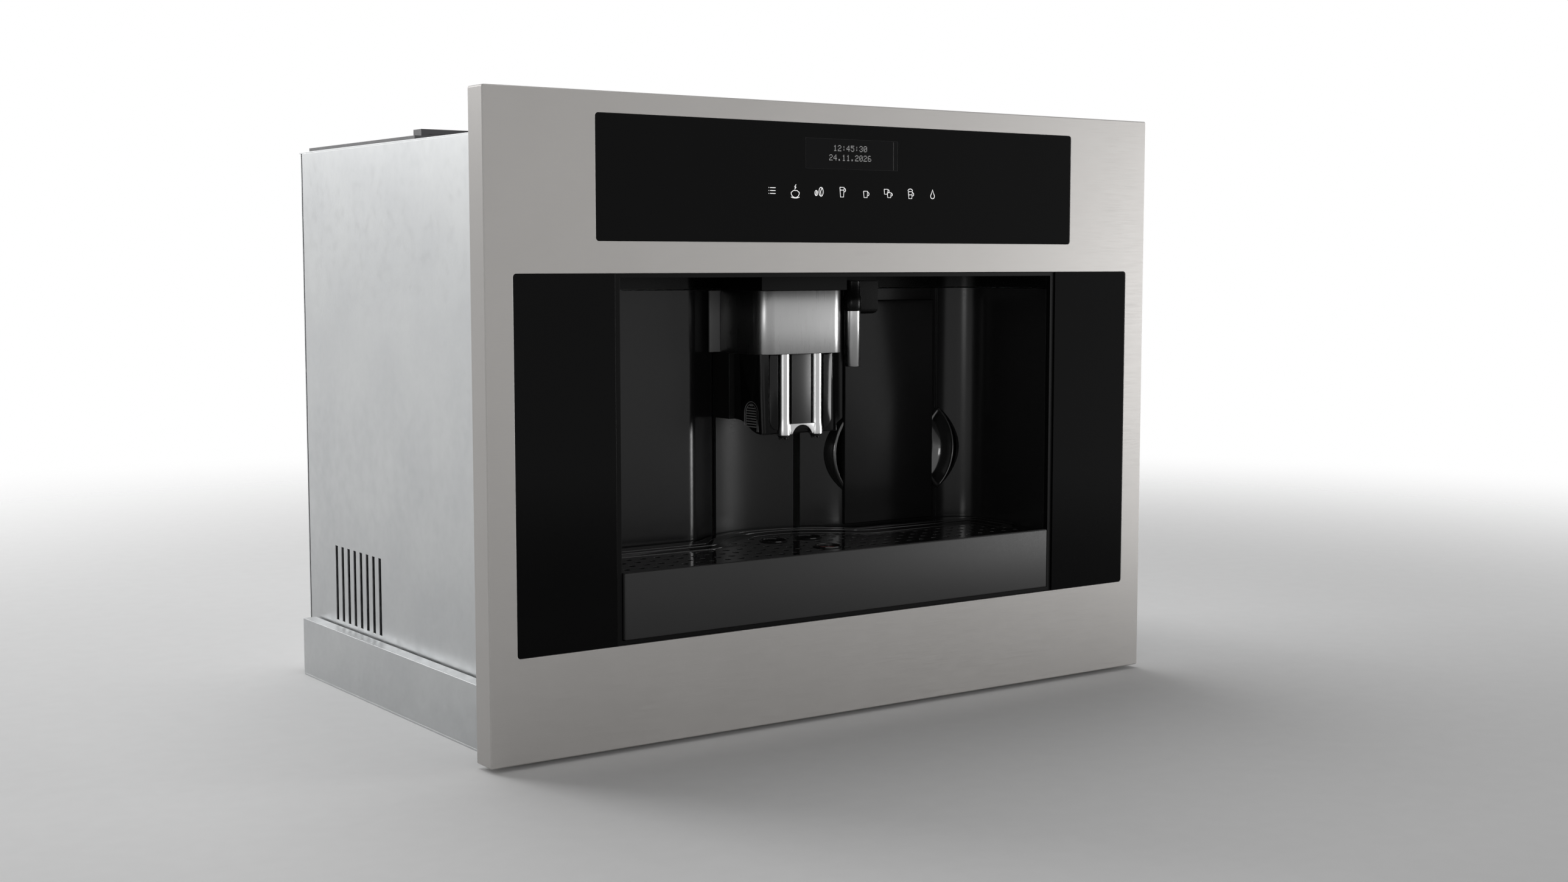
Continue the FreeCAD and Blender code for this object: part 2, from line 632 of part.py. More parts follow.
def spout_head():
    """The steel cap: a sheet bent round the front, open at the back, top and bottom."""
    body = body_at("spout_head", "-head_width / 2", "head_front", "head_low")
    grow(body, outline(body, "XY", "0", "0", "head_width", "head_back - head_front"), "XY",
         "head_top - head_low")

    hollow = outline(body, "XY", "head_wall", "head_wall", "head_width - 2 * head_wall",
                     "head_back - head_front")
    carve(body, hollow, "XY", "head_top - head_low")

    def inner_corner(edge):
        return upright(edge) and abs(edge.CenterOfMass.y - mm("head_wall")) < 0.01
    soften(body, "Fillet", "head_bend - head_wall", inner_corner)

    def front_corner(edge):
        return upright(edge) and edge.CenterOfMass.y < 0.01
    soften(body, "Fillet", "head_bend", front_corner)


def spout_parts():
    """The sliding part of the spout: black body, steel rods with their bridge, and two tips."""
    half, face, back = mm("spout_width") / 2, mm("spout_face"), mm("spout_back")
    low, rear_low, top = mm("spout_low"), mm("spout_rear_low"), mm("spout_top")
    grip_end = mm("grip_near") + mm("grip_wide")
    side = [Part.makeLine(Vector(0, face, low + 1), Vector(0, face, top)),
            Part.makeLine(Vector(0, face, top), Vector(0, back, top)),
            Part.makeLine(Vector(0, back, top), Vector(0, back, rear_low)),
            Part.Arc(Vector(0, back, rear_low), Vector(0, grip_end + 4, rear_low - 1.2),
                     Vector(0, grip_end - 4, rear_low - 4.5)).toShape(),
            Part.Arc(Vector(0, grip_end - 4, rear_low - 4.5), Vector(0, grip_end - 16, low + 1.2),
                     Vector(0, face + 5, low)).toShape(),
            Part.makeLine(Vector(0, face + 5, low), Vector(0, face, low + 1))]
    profile = Part.Face(Part.Wire(Part.sortEdges(side)[0]))
    profile.translate(Vector(-half, 0, 0))
    body = profile.extrude(Vector(2 * half, 0, 0))
    front_edges = [e for e in body.Edges if upright(e) and abs(e.CenterOfMass.y - face) < 0.01]
    body = body.makeFillet(mm("spout_bend"), front_edges)
    rods_x = mm("rod_space") / 2
    for x in (-rods_x, rods_x):
        body = body.cut(prism(x, mm("rod_depth"), low - 9, mm("rod_width") * 0.97 + 0.02,
                              top - low + 20, 12))
        body = body.cut(prism(x, mm("rod_depth") - 0.6, low - 9,
                              mm("rod_width") + mm("rod_flare") + 0.02,
                              mm("flare_high") + 9 + mm("rod_low") - low + 0.02, 12))
    body = body.cut(block(-rods_x, face - 9, low - 9, 2 * rods_x, 9 + 2.2, mm("bridge_top") + 9 - low))
    piece(solid(body.fuse(grip_ribs(half)).removeSplitter()), "spout_body")
    trim_and_tips(rods_x, face, top)


def grip_ribs(half):
    """Rows of short ribs under a round arch on both sides, where the fingers hold the spout."""
    near, wide, low, high = mm("grip_near"), mm("grip_wide"), mm("grip_low"), mm("grip_high")
    rib = mm("grip_rib")
    centre = near + wide / 2
    step = 2 * rib
    ribs = []
    for row in range(int(high / step)):
        z = low + row * step
        above = max(0, z + rib - (low + high - wide / 2))
        reach = math.sqrt(max((wide / 2) ** 2 - above ** 2, 4))
        for x in (-half - 0.8, half - 0.2):
            ribs.append(block(x, centre - reach, z, 1, 2 * reach, rib))
    return ribs


def trim_and_tips(rods_x, face, top):
    """Polished rods joined by an arched bridge, with a serrated tip under each rod."""
    low, wide, deep = mm("rod_low"), mm("rod_width"), mm("rod_depth")
    bridge = block(-rods_x, face - 2.4, mm("bridge_low"), 2 * rods_x, 4.4,
                   mm("bridge_top") - mm("bridge_low"))
    bridge = bridge.cut(bar(0, face - 9, mm("bridge_low") - 2, 2 * mm("arch_bend"), 20, Vector(0, 1, 0)))
    parts = [prism(x, deep, low, wide * 0.97, top - low, 12) for x in (-rods_x, rods_x)]
    parts += [prism(x, deep - 0.6, low, wide + mm("rod_flare"), mm("flare_high"), 12) for x in (-rods_x, rods_x)]
    piece(solid(bridge.fuse(parts).removeSplitter()), "spout_trim")
    tips = []
    for x in (-rods_x, rods_x):
        tip = prism(x, deep, mm("tip_low"), mm("tip_width"), low - mm("tip_low"), 12)
        tip = tip.cut(prism(x, deep, mm("tip_low") - 1, mm("tip_width") / 2, low - mm("tip_low"), 8))
        for turn in (0, 90):
            slot = block(-9, -1, mm("tip_low") - 1, 18, 2, 2)
            slot.rotate(Vector(), Vector(0, 0, 1), turn)
            slot.translate(Vector(x, deep, 0))
            tip = tip.cut(slot)
        tips.append(tip)
    piece(solid(Part.makeCompound(tips)), "coffee_nozzles")


# ---------------------------------------------------------------- hot water

def hot_water_outlet():
    """The pull-off outlet: a black block, a round boss at its front left and a steel tube in that."""
    base = box("outlet_left", "outlet_front", "outlet_low", "outlet_width",
               "outlet_back - outlet_front", "outlet_top - outlet_low")
    low = mm("outlet_low")

    def low_edge(edge):
        return endwise(edge) and abs(edge.CenterOfMass.z - low) < 0.01
    soft = rounded(base, "outlet_bend", low_edge)
    doc.recompute()
    x, deep, low, start = mm("tube_x"), mm("tube_depth"), mm("tube_low"), mm("boss_low")
    boss = prism(x, deep, start, mm("boss_across"), mm("outlet_top") - start, 16)
    tube = prism(x, deep, low, mm("tube_across"), start + 8 - low, 16)
    block_part = soft.Shape.translated(Vector(0, -mm("front_y"), 0))
    piece(solid(block_part.fuse(boss).cut(tube).removeSplitter()), "hot_water_outlet")
    bore = prism(x, deep, low - 1, mm("tube_bore"), start + 5 - low, 12)
    piece(solid(tube.cut(bore)), "hot_water_tube")


# ---------------------------------------------------------------- drip tray

def drip_tray():
    """A basin that follows the niche wall, its front, the holed grille on it and a level float."""
    inset, wall = mm("tray_inset"), mm("tray_wall")
    low, top = mm("tray_low"), mm("grille_low")
    front = mm("tray_front_thick")
    outer = niche_area(inset, front, low, top)
    inner = niche_area(inset + wall, front + wall, low + wall, top + 1)
    post = prism(0, mm("float_depth"), low + 1, mm("post_across"), mm("post_top") - low - 1, 8)
    piece(solid(outer.cut(inner).fuse(post)), "drip_basin")
    body = body_at("tray_front", "-tray_half", "0", "tray_low")
    grow(body, outline(body, "XZ", "0", "0", "2 * tray_half", "tray_top - tray_low"), "XZ",
         "tray_front_thick")

    def face_edge(edge):
        return abs(edge.CenterOfMass.y) < 1e-6
    soften(body, "Chamfer", "tray_bevel", face_edge)
    grille(front + 0.2)
    deep, head = mm("float_depth"), mm("float_top")
    body = prism(0, deep, head - 28, mm("float_across"), 28, 12)
    well = prism(0, deep, head - 29, mm("post_across") + 0.6,
                 mm("post_top") + mm("slide_gap") - head + 29, 8)
    piece(solid(body.cut(well)), "level_float")


def grille(front):
    """A plate with a raised band along the back wall, rows of small holes and three large ones."""
    inset = mm("tray_inset")
    low, top = mm("grille_low"), mm("grille_top")
    half = mm("niche_half")
    side, start, line, ring = mm("rim_side"), mm("rim_start"), mm("rim_line"), mm("rim_ring")
    centre = mm("recess_depth")
    sheet_part = niche_area(inset, front, low, mm("grille_rim_top"))
    sheet_part = sheet_part.cut([
        block(-half, 0, top, 2 * half, start, 9), block(-side, 0, top, 2 * side, line, 9),
        bar(0, centre, top, 2 * ring, 9)])
    big = [(0, mm("float_depth")), (-mm("big_x"), mm("big_depth")), (mm("big_x"), mm("big_depth"))]
    drills = [prism(x, deep, low - 1, mm("big_hole"), 9, 24) for x, deep in big]
    across = mm("hole_across")
    columns = int(half / mm("hole_pitch_x"))

    def is_low(x, deep):
        in_front = deep < start - across and abs(x) < half - inset - across / 2
        in_middle = deep < line - across / 2 and abs(x) < side - across / 2
        return in_front or in_middle or math.hypot(x, deep - centre) < ring - across / 2
    for row in range(9):
        deep = mm("hole_first") + row * mm("hole_pitch_y")
        for column in range(-columns, columns + 1):
            x = mm("hole_shift") + column * mm("hole_pitch_x")
            clear = all(math.hypot(x - bx, deep - bd) > mm("big_hole") / 2 + across
                        for bx, bd in big)
            if clear and is_low(x, deep):
                drills.append(prism(x, deep, low - 1, across, top - low + 2, 4))
    clear = mm("drawer_clear")
    under_drawer = block(mm("panel_left") - clear, mm("panel_front") - clear, low - 1,
                         mm("panel_width") + 2 * clear, 20, 9)
    under_scoop = block(mm("left_scoop_x") - mm("scoop_bulge") - clear,
                        mm("flat_depth") - mm("scoop_proud") - clear, low - 1,
                        2 * mm("scoop_bulge"), 20, 9)
    piece(solid(sheet_part.cut(Part.makeCompound(drills)).cut([under_drawer, under_scoop])),
          "drip_grille")


# ---------------------------------------------------------------- grounds drawer

def grounds_drawer():
    """The proud panel, notched where it passes the outlet, and the open-topped bin behind it."""
    body = body_at("grounds_front", "panel_left", "panel_front", "panel_low")
    grow(body, outline(body, "XZ", "0", "0", "panel_width", "panel_top - panel_low"), "XZ",
         "panel_thick")
    carve(body, outline(body, "XZ", "0", "outlet_low - notch_gap - panel_low",
                        "outlet_left + outlet_width + notch_gap - panel_left", "panel_top"), "XZ",
          "panel_thick")

    def face_edge(edge):
        return abs(edge.CenterOfMass.y) < 1e-6
    soften(body, "Chamfer", "panel_bevel", face_edge)
    bin_body = body_at("grounds_bin", "panel_left + bin_side", "panel_front + panel_thick", "bin_low")
    grow(bin_body, outline(bin_body, "XY", "0", "0", "panel_width - 2 * bin_side", "bin_depth"), "XY",
         "bin_top - bin_low")
    carve(bin_body, outline(bin_body, "XY", "bin_wall", "bin_wall",
                            "panel_width - 2 * bin_side - 2 * bin_wall", "bin_depth - 2 * bin_wall",
                            "bin_wall"), "XY", "bin_top - bin_low")


# ---------------------------------------------------------------- chassis

def chassis():
    """Base pan, sides, back, top cover and the bulkhead with its shelves."""
    pan = body_at("base_pan", "-pan_half", "chassis_front", "body_low")
    long = "rear_inner - fascia_edge - 0.5"
    grow(pan, outline(pan, "XY", "0", "0", "2 * pan_half", long), "XY", "14")
    carve(pan, outline(pan, "XY", "steel_sheet", "steel_sheet", "2 * pan_half - 2 * steel_sheet",
                       f"{long} - 2 * steel_sheet", "steel_sheet"), "XY", "14")
    for name, x in (("left_side_panel", "-body_half"), ("right_side_panel", "pan_half")):
        vents = [("230 + %d" % (12 * n), "40", "5", "60") for n in range(8)]
        plate(name, "YZ", x, "chassis_front", "body_low", long, "cover_low - body_low",
              "steel_sheet", vents)
    holes = [("pan_half + inlet_x - inlet_width / 2 + 8", "inlet_z - inlet_height / 2 + 2 - pan_floor",
              "inlet_width - 16", "inlet_height - 4")]
    holes += [("40", "200 + %d" % (12 * n), "90", "5") for n in range(8)]
    plate("rear_panel", "XZ", "-pan_half", "rear_inner", "pan_floor", "2 * pan_half",
          "cover_low - pan_floor", "steel_sheet", holes)
    top_cover()
    inner_frame()
    mains_inlet()


def top_cover():
    """The steel lid, holed for the tank, hopper, funnel, scoop, knob and switch."""
    left, front = "body_half", "chassis_front"
    holes = [
        (f"{left} + tank_left - tank_fit", f"tank_front - tank_fit - ({front})",
         "tank_width + 2 * tank_fit", "tank_length + 2 * tank_fit"),
        (f"{left} + hopper_left - slide_gap", f"hopper_front - slide_gap - ({front})",
         "hopper_width + 2 * slide_gap", "hopper_length + 2 * slide_gap"),
        (f"{left} + funnel_x - funnel_size / 2 - slide_gap",
         f"funnel_depth - funnel_size / 2 - slide_gap - ({front})",
         "funnel_size + 2 * slide_gap", "funnel_size + 2 * slide_gap"),
        (f"{left} + switch_x - switch_width / 2 - 1", f"switch_depth - switch_length / 2 - 1"
         f" - ({front})", "switch_width + 2", "switch_length + 2")]
    sheet_part = plate("top_cover_sheet", "XY", "-body_half", front, "cover_low", "body_width",
                       f"back_depth - ({front})", "cover_sheet", holes)
    pieces.remove(sheet_part)
    tools = [rod("knob_x", "knob_depth", "cover_low - 1", "knob_shaft + 2 * slide_gap", "9"),
             rod("spoon_x", "spoon_depth", "cover_low - 1", "spoon_across + 2", "9")]
    tools += [nut(x, deep, "cover_low - 1", "cover_screw + 0.8", "9") for x, deep in SCREW_PLACES]
    well = cut(box("switch_x - switch_width / 2 - 2.5", "switch_depth - switch_length / 2 - 2.5",
                   "cover_low - 12", "switch_width + 5", "switch_length + 5", "12"),
               box("switch_x - switch_width / 2 - 1", "switch_depth - switch_length / 2 - 1",
                   "cover_low - 11", "switch_width + 2", "switch_length + 2", "14"))
    piece(join(cut(sheet_part, *tools), well), "top_cover")
    group = doc.addObject("Part::Compound", "Screws")
    group.Links = [join(nut(x, deep, "body_top", "7", "2"),
                        nut(x, deep, "cover_low - 4", "cover_screw", "cover_sheet + 5"))
                   for x, deep in SCREW_PLACES]
    piece(group, "cover_screws")
    rocker()


SCREW_PLACES = [(x, deep) for x in ("-screw_half", "screw_half")
                for deep in ("chassis_front + screw_front", "back_depth - screw_back")]


def nut(x, deep, z, across, high):
    """A six-sided bar that stands on a point."""
    shape = doc.addObject("Part::Prism", "Nut")
    bind(shape, Circumradius=f"({across}) / 2", Height=high)
    return put(shape, x, deep, z)


def rocker():
    """The main switch: a rocker on a cross pin in its well."""
    middle = "cover_low - 2"
    half = "switch_length / 2"
    lower = box("switch_x - switch_width / 2", f"switch_depth - {half}", "cover_low - 5",
                "switch_width", "switch_length", "8")
    drum = doc.addObject("Part::Prism", "Drum")
    drum.Polygon = 24
    drum.Placement = Placement(Vector(), TURNS["X"])
    bind(drum, Circumradius="rocker_bend", Height="switch_width + 2")
    put(drum, "switch_x - switch_width / 2 - 1", "switch_depth", "cover_low - 12")
    shaped = common(lower, drum)
    pin = rod("switch_x - switch_width / 2 - 0.7", "switch_depth", middle, "3", "switch_width + 1.4",
              "X")
    piece(join(shaped, pin), "main_switch")


def inner_frame():
    """The bulkhead behind the niche, with shelves for the tank, the brew unit and the grinder."""
    wall = cut(box("-inner_half", "bulkhead_depth", "pan_floor", "2 * inner_half", "bulkhead_thick",
                   "rest_low - pan_floor"),
               box("opening_left - 1", "bulkhead_depth - 1", "opening_low - 1", "opening_width + 2",
                   "bulkhead_thick + 2", "opening_top - opening_low + 2"))
    reach = "rear_inner - 0.3 - bulkhead_back"
    shelves = [box("-inner_half", "bulkhead_back", "tank_low - slide_gap - 3",
                   "tank_left + tank_width + 8 + inner_half", reach, "3"),
               box("-70", "bulkhead_back", "brew_low - 3", "140", reach, "3"),
               box("80", "225", "motor_low - 3.3", "inner_half - 80", "rear_inner - 0.3 - 225", "3"),
               box("77", "bulkhead_back", "motor_low - 3.3", "3", "225 + 20 - bulkhead_back", "60")]
    piece(join(wall, *shelves), "inner_frame")


def mains_inlet():
    """The three-pole socket for the mains lead, let into the back."""
    flange = box("inlet_x - inlet_width / 2", "back_depth", "inlet_z - inlet_height / 2",
                 "inlet_width", "depth - back_depth", "inlet_height")
    case = box("inlet_x - inlet_width / 2 + 8.3", "back_depth - 18", "inlet_z - inlet_height / 2 + 2.3",
               "inlet_width - 16.6", "18", "inlet_height - 4.6")
    mouth = box("inlet_x - inlet_width / 2 + 11.5", "back_depth - 15",
                "inlet_z - inlet_height / 2 + 5", "inlet_width - 23", "30", "inlet_height - 10")
    pins = [box(f"inlet_x + {x} - 1", "back_depth - 16", "inlet_z - 2.5", "2", "12", "4")
            for x in (-7, 0, 7)]
    piece(join(cut(join(flange, case), mouth), *pins), "mains_inlet")


# ---------------------------------------------------------------- runners

def runners():
    """Full-extension runners: the cabinet rail, the middle rail in it and the machine's own rail."""
    plate_part = box("-rail_outer", "plate_front", "0", "2 * rail_outer",
                     "rail_front + rail_length - plate_front", "plate_thick")
    holes = [rod(f"{x} * screw_space_x / 2", f"{y} * screw_space_y / 2 + 208", "-1", "screw_hole",
                 "plate_thick + 2") for x in (-1, 1) for y in (-1, 1)]
    piece(cut(plate_part, *holes), "runner_plate")
    for side, sign in (("left", -1), ("right", 1)):
        channel(f"{side}_cabinet_rail", sign, "rail_outer", "rail_thick - 2.2", "0", True)
        channel(f"{side}_middle_rail", sign, "rail_outer - rail_wall - rail_gap",
                "rail_thick - 4.2", "rail_wall + rail_gap", True)
        channel(f"{side}_inner_rail", sign, "body_half", "rail_thick - 4.2",
                "2 * (rail_wall + rail_gap)", False)


def channel(name, sign, web, reach, inset, opens_in):
    """A U-shaped rail; its web stands at a distance from the middle and its legs run sideways."""
    high = f"rail_height - 2 * ({inset})"
    low = f"plate_thick + {inset}"
    if opens_in:
        outer_left = f"({web}) - ({reach})" if sign > 0 else f"-({web})"
        inner_left = f"{outer_left} - 1" if sign > 0 else f"{outer_left} + rail_wall"
    else:
        outer_left = web if sign > 0 else f"-({web}) - ({reach})"
        inner_left = f"{outer_left} + rail_wall" if sign > 0 else f"{outer_left} - 1"
    outside = box(outer_left, "rail_front", low, reach, "rail_length", high)
    inside = box(inner_left, "rail_front - 1", f"{low} + rail_wall", f"{reach} - rail_wall + 1",
                 "rail_length + 2", f"{high} - 2 * rail_wall")
    piece(cut(outside, inside), name)


# ---------------------------------------------------------------- tank, beans, powder

def water_tank():
    """A lift-out tank with a lid on top."""
    body = body_at("water_tank", "tank_left", "tank_front", "tank_low")
    grow(body, outline(body, "XY", "0", "0", "tank_width", "tank_length"), "XY", "tank_top - tank_low")
    carve(body, outline(body, "XY", "tank_wall", "tank_wall", "tank_width - 2 * tank_wall",
                        "tank_length - 2 * tank_wall", "tank_wall"), "XY", "tank_top - tank_low")
    wall = mm("tank_wall")

    def inside(edge):
        middle = edge.CenterOfMass
        across = min(middle.x, mm("tank_width") - middle.x)
        return upright(edge) and abs(across - wall) < 0.01

    def outside(edge):
        middle = edge.CenterOfMass
        return upright(edge) and min(middle.x, mm("tank_width") - middle.x) < 0.01
    soften(body, "Fillet", "tank_corner - tank_wall", inside)
    soften(body, "Fillet", "tank_corner", outside)
    lid = box("tank_left - lid_over", "tank_front - lid_over", "tank_top", "tank_width + 2 * lid_over",
              "tank_length + 2 * lid_over", "lid_thick")
    knob = cut(box("tank_left + tank_width / 2 - 24", "tank_front + 40", "tank_top + lid_thick", "48",
                   "14", "8"),
               box("tank_left + tank_width / 2 - 18", "tank_front + 39", "tank_top + lid_thick", "36",
                   "16", "4"))
    piece(join(lid, knob), "tank_lid")


def funnel_shape(x, deep, size_x, size_y, neck, top, low, wall):
    """A rectangular funnel that narrows to a square neck, as a thin-walled shape."""
    def form(wide, back, narrow):
        wedge = Part.makeWedge(-narrow / 2, 0, -narrow / 2, -back / 2, -wide / 2,
                               narrow / 2, top - low, narrow / 2, back / 2, wide / 2)
        wedge.Placement = Placement(Vector(x, deep, low), Rotation(Vector(1, 0, 0), 90))
        return wedge
    outer = form(size_x, size_y, neck)
    return outer.cut(form(size_x - 2 * wall, size_y - 2 * wall, neck - 2 * wall))


def rim_shape(x, deep, size_x, size_y, flange, wall, low, thick):
    """A flat rim round a funnel's mouth."""
    outer = block(x - size_x / 2 - flange, deep - size_y / 2 - flange, low, size_x + 2 * flange,
                  size_y + 2 * flange, thick)
    return outer.cut(block(x - size_x / 2 + wall, deep - size_y / 2 + wall, low - 1,
                           size_x - 2 * wall, size_y - 2 * wall, thick + 2))


def hinge_ears(x, deep, z, span, high):
    """Two ears with pins that face each other, which a lid's barrel turns on."""
    parts = []
    for sign in (-1, 1):
        ear = block(x + sign * (span / 2 + 2.5) - 2, deep - 3, z, 4, 6, high + 2)
        pin_start = x + sign * (span / 2 + 2.5)
        pin = prism(pin_start, deep, z + high, 2.9, 5.5, 8, Vector(-sign, 0, 0))
        parts += [ear, pin]
    return parts


def lid_on_pins(x, deep, low, wide, front, thick, span):
    """A lid with a bored barrel along its back edge."""
    axis = low + 3
    lid = block(x - wide / 2, front, low, wide, deep - 4 - front, thick)
    arm = block(x - span / 2, deep - 5, low, span, 5, thick)
    barrel = prism(x - span / 2, deep, axis, 6, span, 12, Vector(1, 0, 0))
    lid = lid.fuse([arm, barrel])
    return lid.cut(bar(x - span / 2 - 1, deep, axis, 3.6, span + 2, Vector(1, 0, 0)))


def beans():
    """Bean hopper with its hinged lid, the grinder under it and the grind-size knob."""
    wide, long = mm("hopper_width"), mm("hopper_length")
    x = mm("hopper_left") + wide / 2
    deep = mm("hopper_front") + long / 2
    top, wall = mm("body_top"), mm("hopper_wall")
    rim, thick = mm("hopper_rim"), mm("rim_thick")
    back = deep + long / 2 + rim - 3
    cup = block(x - wide / 2, mm("hopper_front"), top - 30, wide, long, 30).cut(
        block(x - wide / 2 + wall, mm("hopper_front") + wall, top - 31, wide - 2 * wall,
              long - 2 * wall, 33))
    cone = funnel_shape(x, deep, wide, long, mm("hopper_neck"), top - 30, mm("neck_low"), wall)
    flange = rim_shape(x, deep, wide, long, rim, wall, top, thick)
    span = 60
    shape = cup.fuse([cone, flange] + hinge_ears(x, back, top + thick - 1, span, 4.5))
    piece(solid(shape.removeSplitter()), "bean_hopper")
    lid = lid_on_pins(x, back, top + thick + 0.5, wide + rim, mm("hopper_front") - rim,
                      mm("bean_lid"), span)
    piece(solid(lid), "hopper_lid")
    grinder(x, deep)
    knob()


def grinder(x, deep):
    """Housing, turning burr and motor, in line under the hopper's neck."""
    low, top = mm("grinder_low"), mm("neck_low")
    wall, burr = mm("grinder_wall"), mm("burr_across")
    housing = prism(x, deep, low, mm("grinder_across"), top - low, 12)
    room = prism(x, deep, low + wall, burr + 6, top - low - 2 * wall, 12)
    mouth = prism(x, deep, top - wall - 1, 30, wall + 2, 8)
    shaft_hole = prism(x, deep, low - 1, 10.6, wall + 2, 8)
    spout = block(x - mm("grinder_across") / 2 - 14, deep - 14, low + 8, 20, 28, 24)
    housing = housing.fuse(spout).cut(room).cut(mouth).cut(shaft_hole)
    piece(solid(housing), "grinder_housing")
    burr_low = low + wall + 4
    ring = prism(x, deep, burr_low + 5, burr - 14, 17, 12)
    disc = prism(x, deep, burr_low, burr, 6, 12)
    shaft = bar(x, deep, low - 12, 9.2, burr_low - low + 13)
    teeth = []
    for n in range(6):
        slot = block(burr / 2 - 10, -1, burr_low + 8, 14, 2, 20)
        slot.rotate(Vector(), Vector(0, 0, 1), 60 * n)
        slot.translate(Vector(x, deep, 0))
        teeth.append(slot)
    piece(solid(ring.fuse([disc, shaft]).cut(Part.makeCompound(teeth))), "grinder_burr")
    motor = prism(x, deep, mm("motor_low"), mm("motor_across"), low - mm("motor_low"), 12)
    motor = motor.cut(prism(x, deep, low - 12.3, 10.6, 20, 8))
    piece(solid(motor), "grinder_motor")


def knob():
    """A ribbed dial on the cover, whose shaft goes through to the grinder's adjuster."""
    across, high = mm("knob_across"), mm("knob_high")
    x, deep, low = mm("knob_x"), mm("knob_depth"), mm("body_top") + 0.3
    dial = prism(x, deep, low, across, high, 32)
    notches = []
    for n in range(16):
        notch = prism(across / 2 + 0.3, 0, low - 1, 2.4, high + 2, 4)
        notch.rotate(Vector(), Vector(0, 0, 1), 22.5 * n)
        notch.translate(Vector(x, deep, 0))
        notches.append(notch)
    dial = dial.cut(Part.makeCompound(notches))
    shaft = prism(x, deep, low - 14, mm("knob_shaft") - 0.4, 15, 12)
    piece(solid(dial.fuse(shaft)), "grind_knob")


def powder():
    """The funnel for ground coffee with its flap, and the measuring scoop hung in the cover."""
    x, deep, size = mm("funnel_x"), mm("funnel_depth"), mm("funnel_size")
    top, wall = mm("body_top"), mm("hopper_wall")
    thick, rim = mm("rim_thick"), 4
    cone = funnel_shape(x, deep, size, size, mm("funnel_neck"), top, mm("funnel_low") + 40, wall)
    neck = mm("funnel_neck")
    tube = block(x - neck / 2, deep - neck / 2, mm("funnel_low"), neck, neck, 40.0).cut(
        block(x - neck / 2 + wall, deep - neck / 2 + wall, mm("funnel_low") - 1, neck - 2 * wall,
              neck - 2 * wall, 42))
    flange = rim_shape(x, deep, size, size, rim + 2, wall, top, thick)
    back = deep + size / 2 + rim - 1
    span = 24
    shape = cone.fuse([tube, flange] + hinge_ears(x, back, top + thick - 1, span, 4.5))
    piece(solid(shape.removeSplitter()), "powder_funnel")
    flap = lid_on_pins(x, back, top + thick + 0.5, size + 8, deep - size / 2 - rim,
                       mm("flap_thick"), span)
    piece(solid(flap), "funnel_flap")
    across, spoon_wall = mm("spoon_across"), mm("spoon_wall")
    x, deep, low = mm("spoon_x"), mm("spoon_depth"), mm("body_top") - mm("spoon_deep")
    rest = mm("body_top") + 0.3
    bowl = prism(x, deep, low, across, rest + 1 - low, 24)
    lip = prism(x, deep, rest, across + 6, 2, 24)
    hollow = prism(x, deep, low + spoon_wall, across - 2 * spoon_wall, rest + 5 - low, 24)
    handle = block(x + across / 2, deep - 6, rest, mm("spoon_handle"), 12, 3)
    piece(solid(bowl.fuse([lip, handle]).cut(hollow).removeSplitter()), "measuring_scoop")


# ---------------------------------------------------------------- the works

def works():
    """Brew unit, boiler, pump and the hoses between them."""
    half = mm("brew_width") / 2
    front = mm("bulkhead_depth") + mm("bulkhead_thick")
    low, top = mm("brew_low"), mm("brew_top")
    deep = front + mm("brew_length") / 2
    frame = block(-half, front, low, 2 * half, mm("brew_length"), top - low)
    frame = frame.cut(block(-half + 10, front + 10, low + 10, 2 * half - 20, mm("brew_length"),
                            top - low - 30))
    chamber = prism(0, deep, low + 30, 56, 90, 12)
    piston = prism(0, deep, low + 119, 26, top - low - 135, 8)
    link = block(-half + 5, deep - 6, low + 60, 2 * half - 10, 12, 12)
    piece(solid(frame.fuse([chamber, piston, link]).removeSplitter()), "brew_unit")
    base = mm("boiler_low")
    start = mm("boiler_depth")
    wide = mm("boiler_width") / 2
    heater = block(-wide, start, base, 2 * wide, mm("boiler_length"), mm("boiler_top") - base)
    heater = heater.cut(block(-wide + 12, start - 1, base + 12, 2 * wide - 24, 9,
                              mm("boiler_top") - base - 24))
    ports = [prism(x, start + 30, mm("boiler_top") - 1, 10, 13, 8) for x in (-30, 30)]
    piece(solid(heater.fuse(ports)), "boiler")
    x, deep, across = mm("pump_x"), mm("pump_depth"), mm("pump_across")
    base = mm("pan_floor")
    back = Vector(0, 1, 0)
    coil = prism(x, deep, base + 10 + across / 2, across, mm("pump_length"), 12, back)
    feet = [block(x - across / 2, deep + y, base, across, 14, 10 + across / 2) for y in (8, 72)]
    nose = prism(x, deep - 22, base + 10 + across / 2, 14, 24, 8, back)
    tail = prism(x, deep + mm("pump_length") - 1, base + 10 + across / 2, 10, 13, 8, back)
    piece(solid(coil.fuse(feet + [nose, tail])), "water_pump")
    hoses()


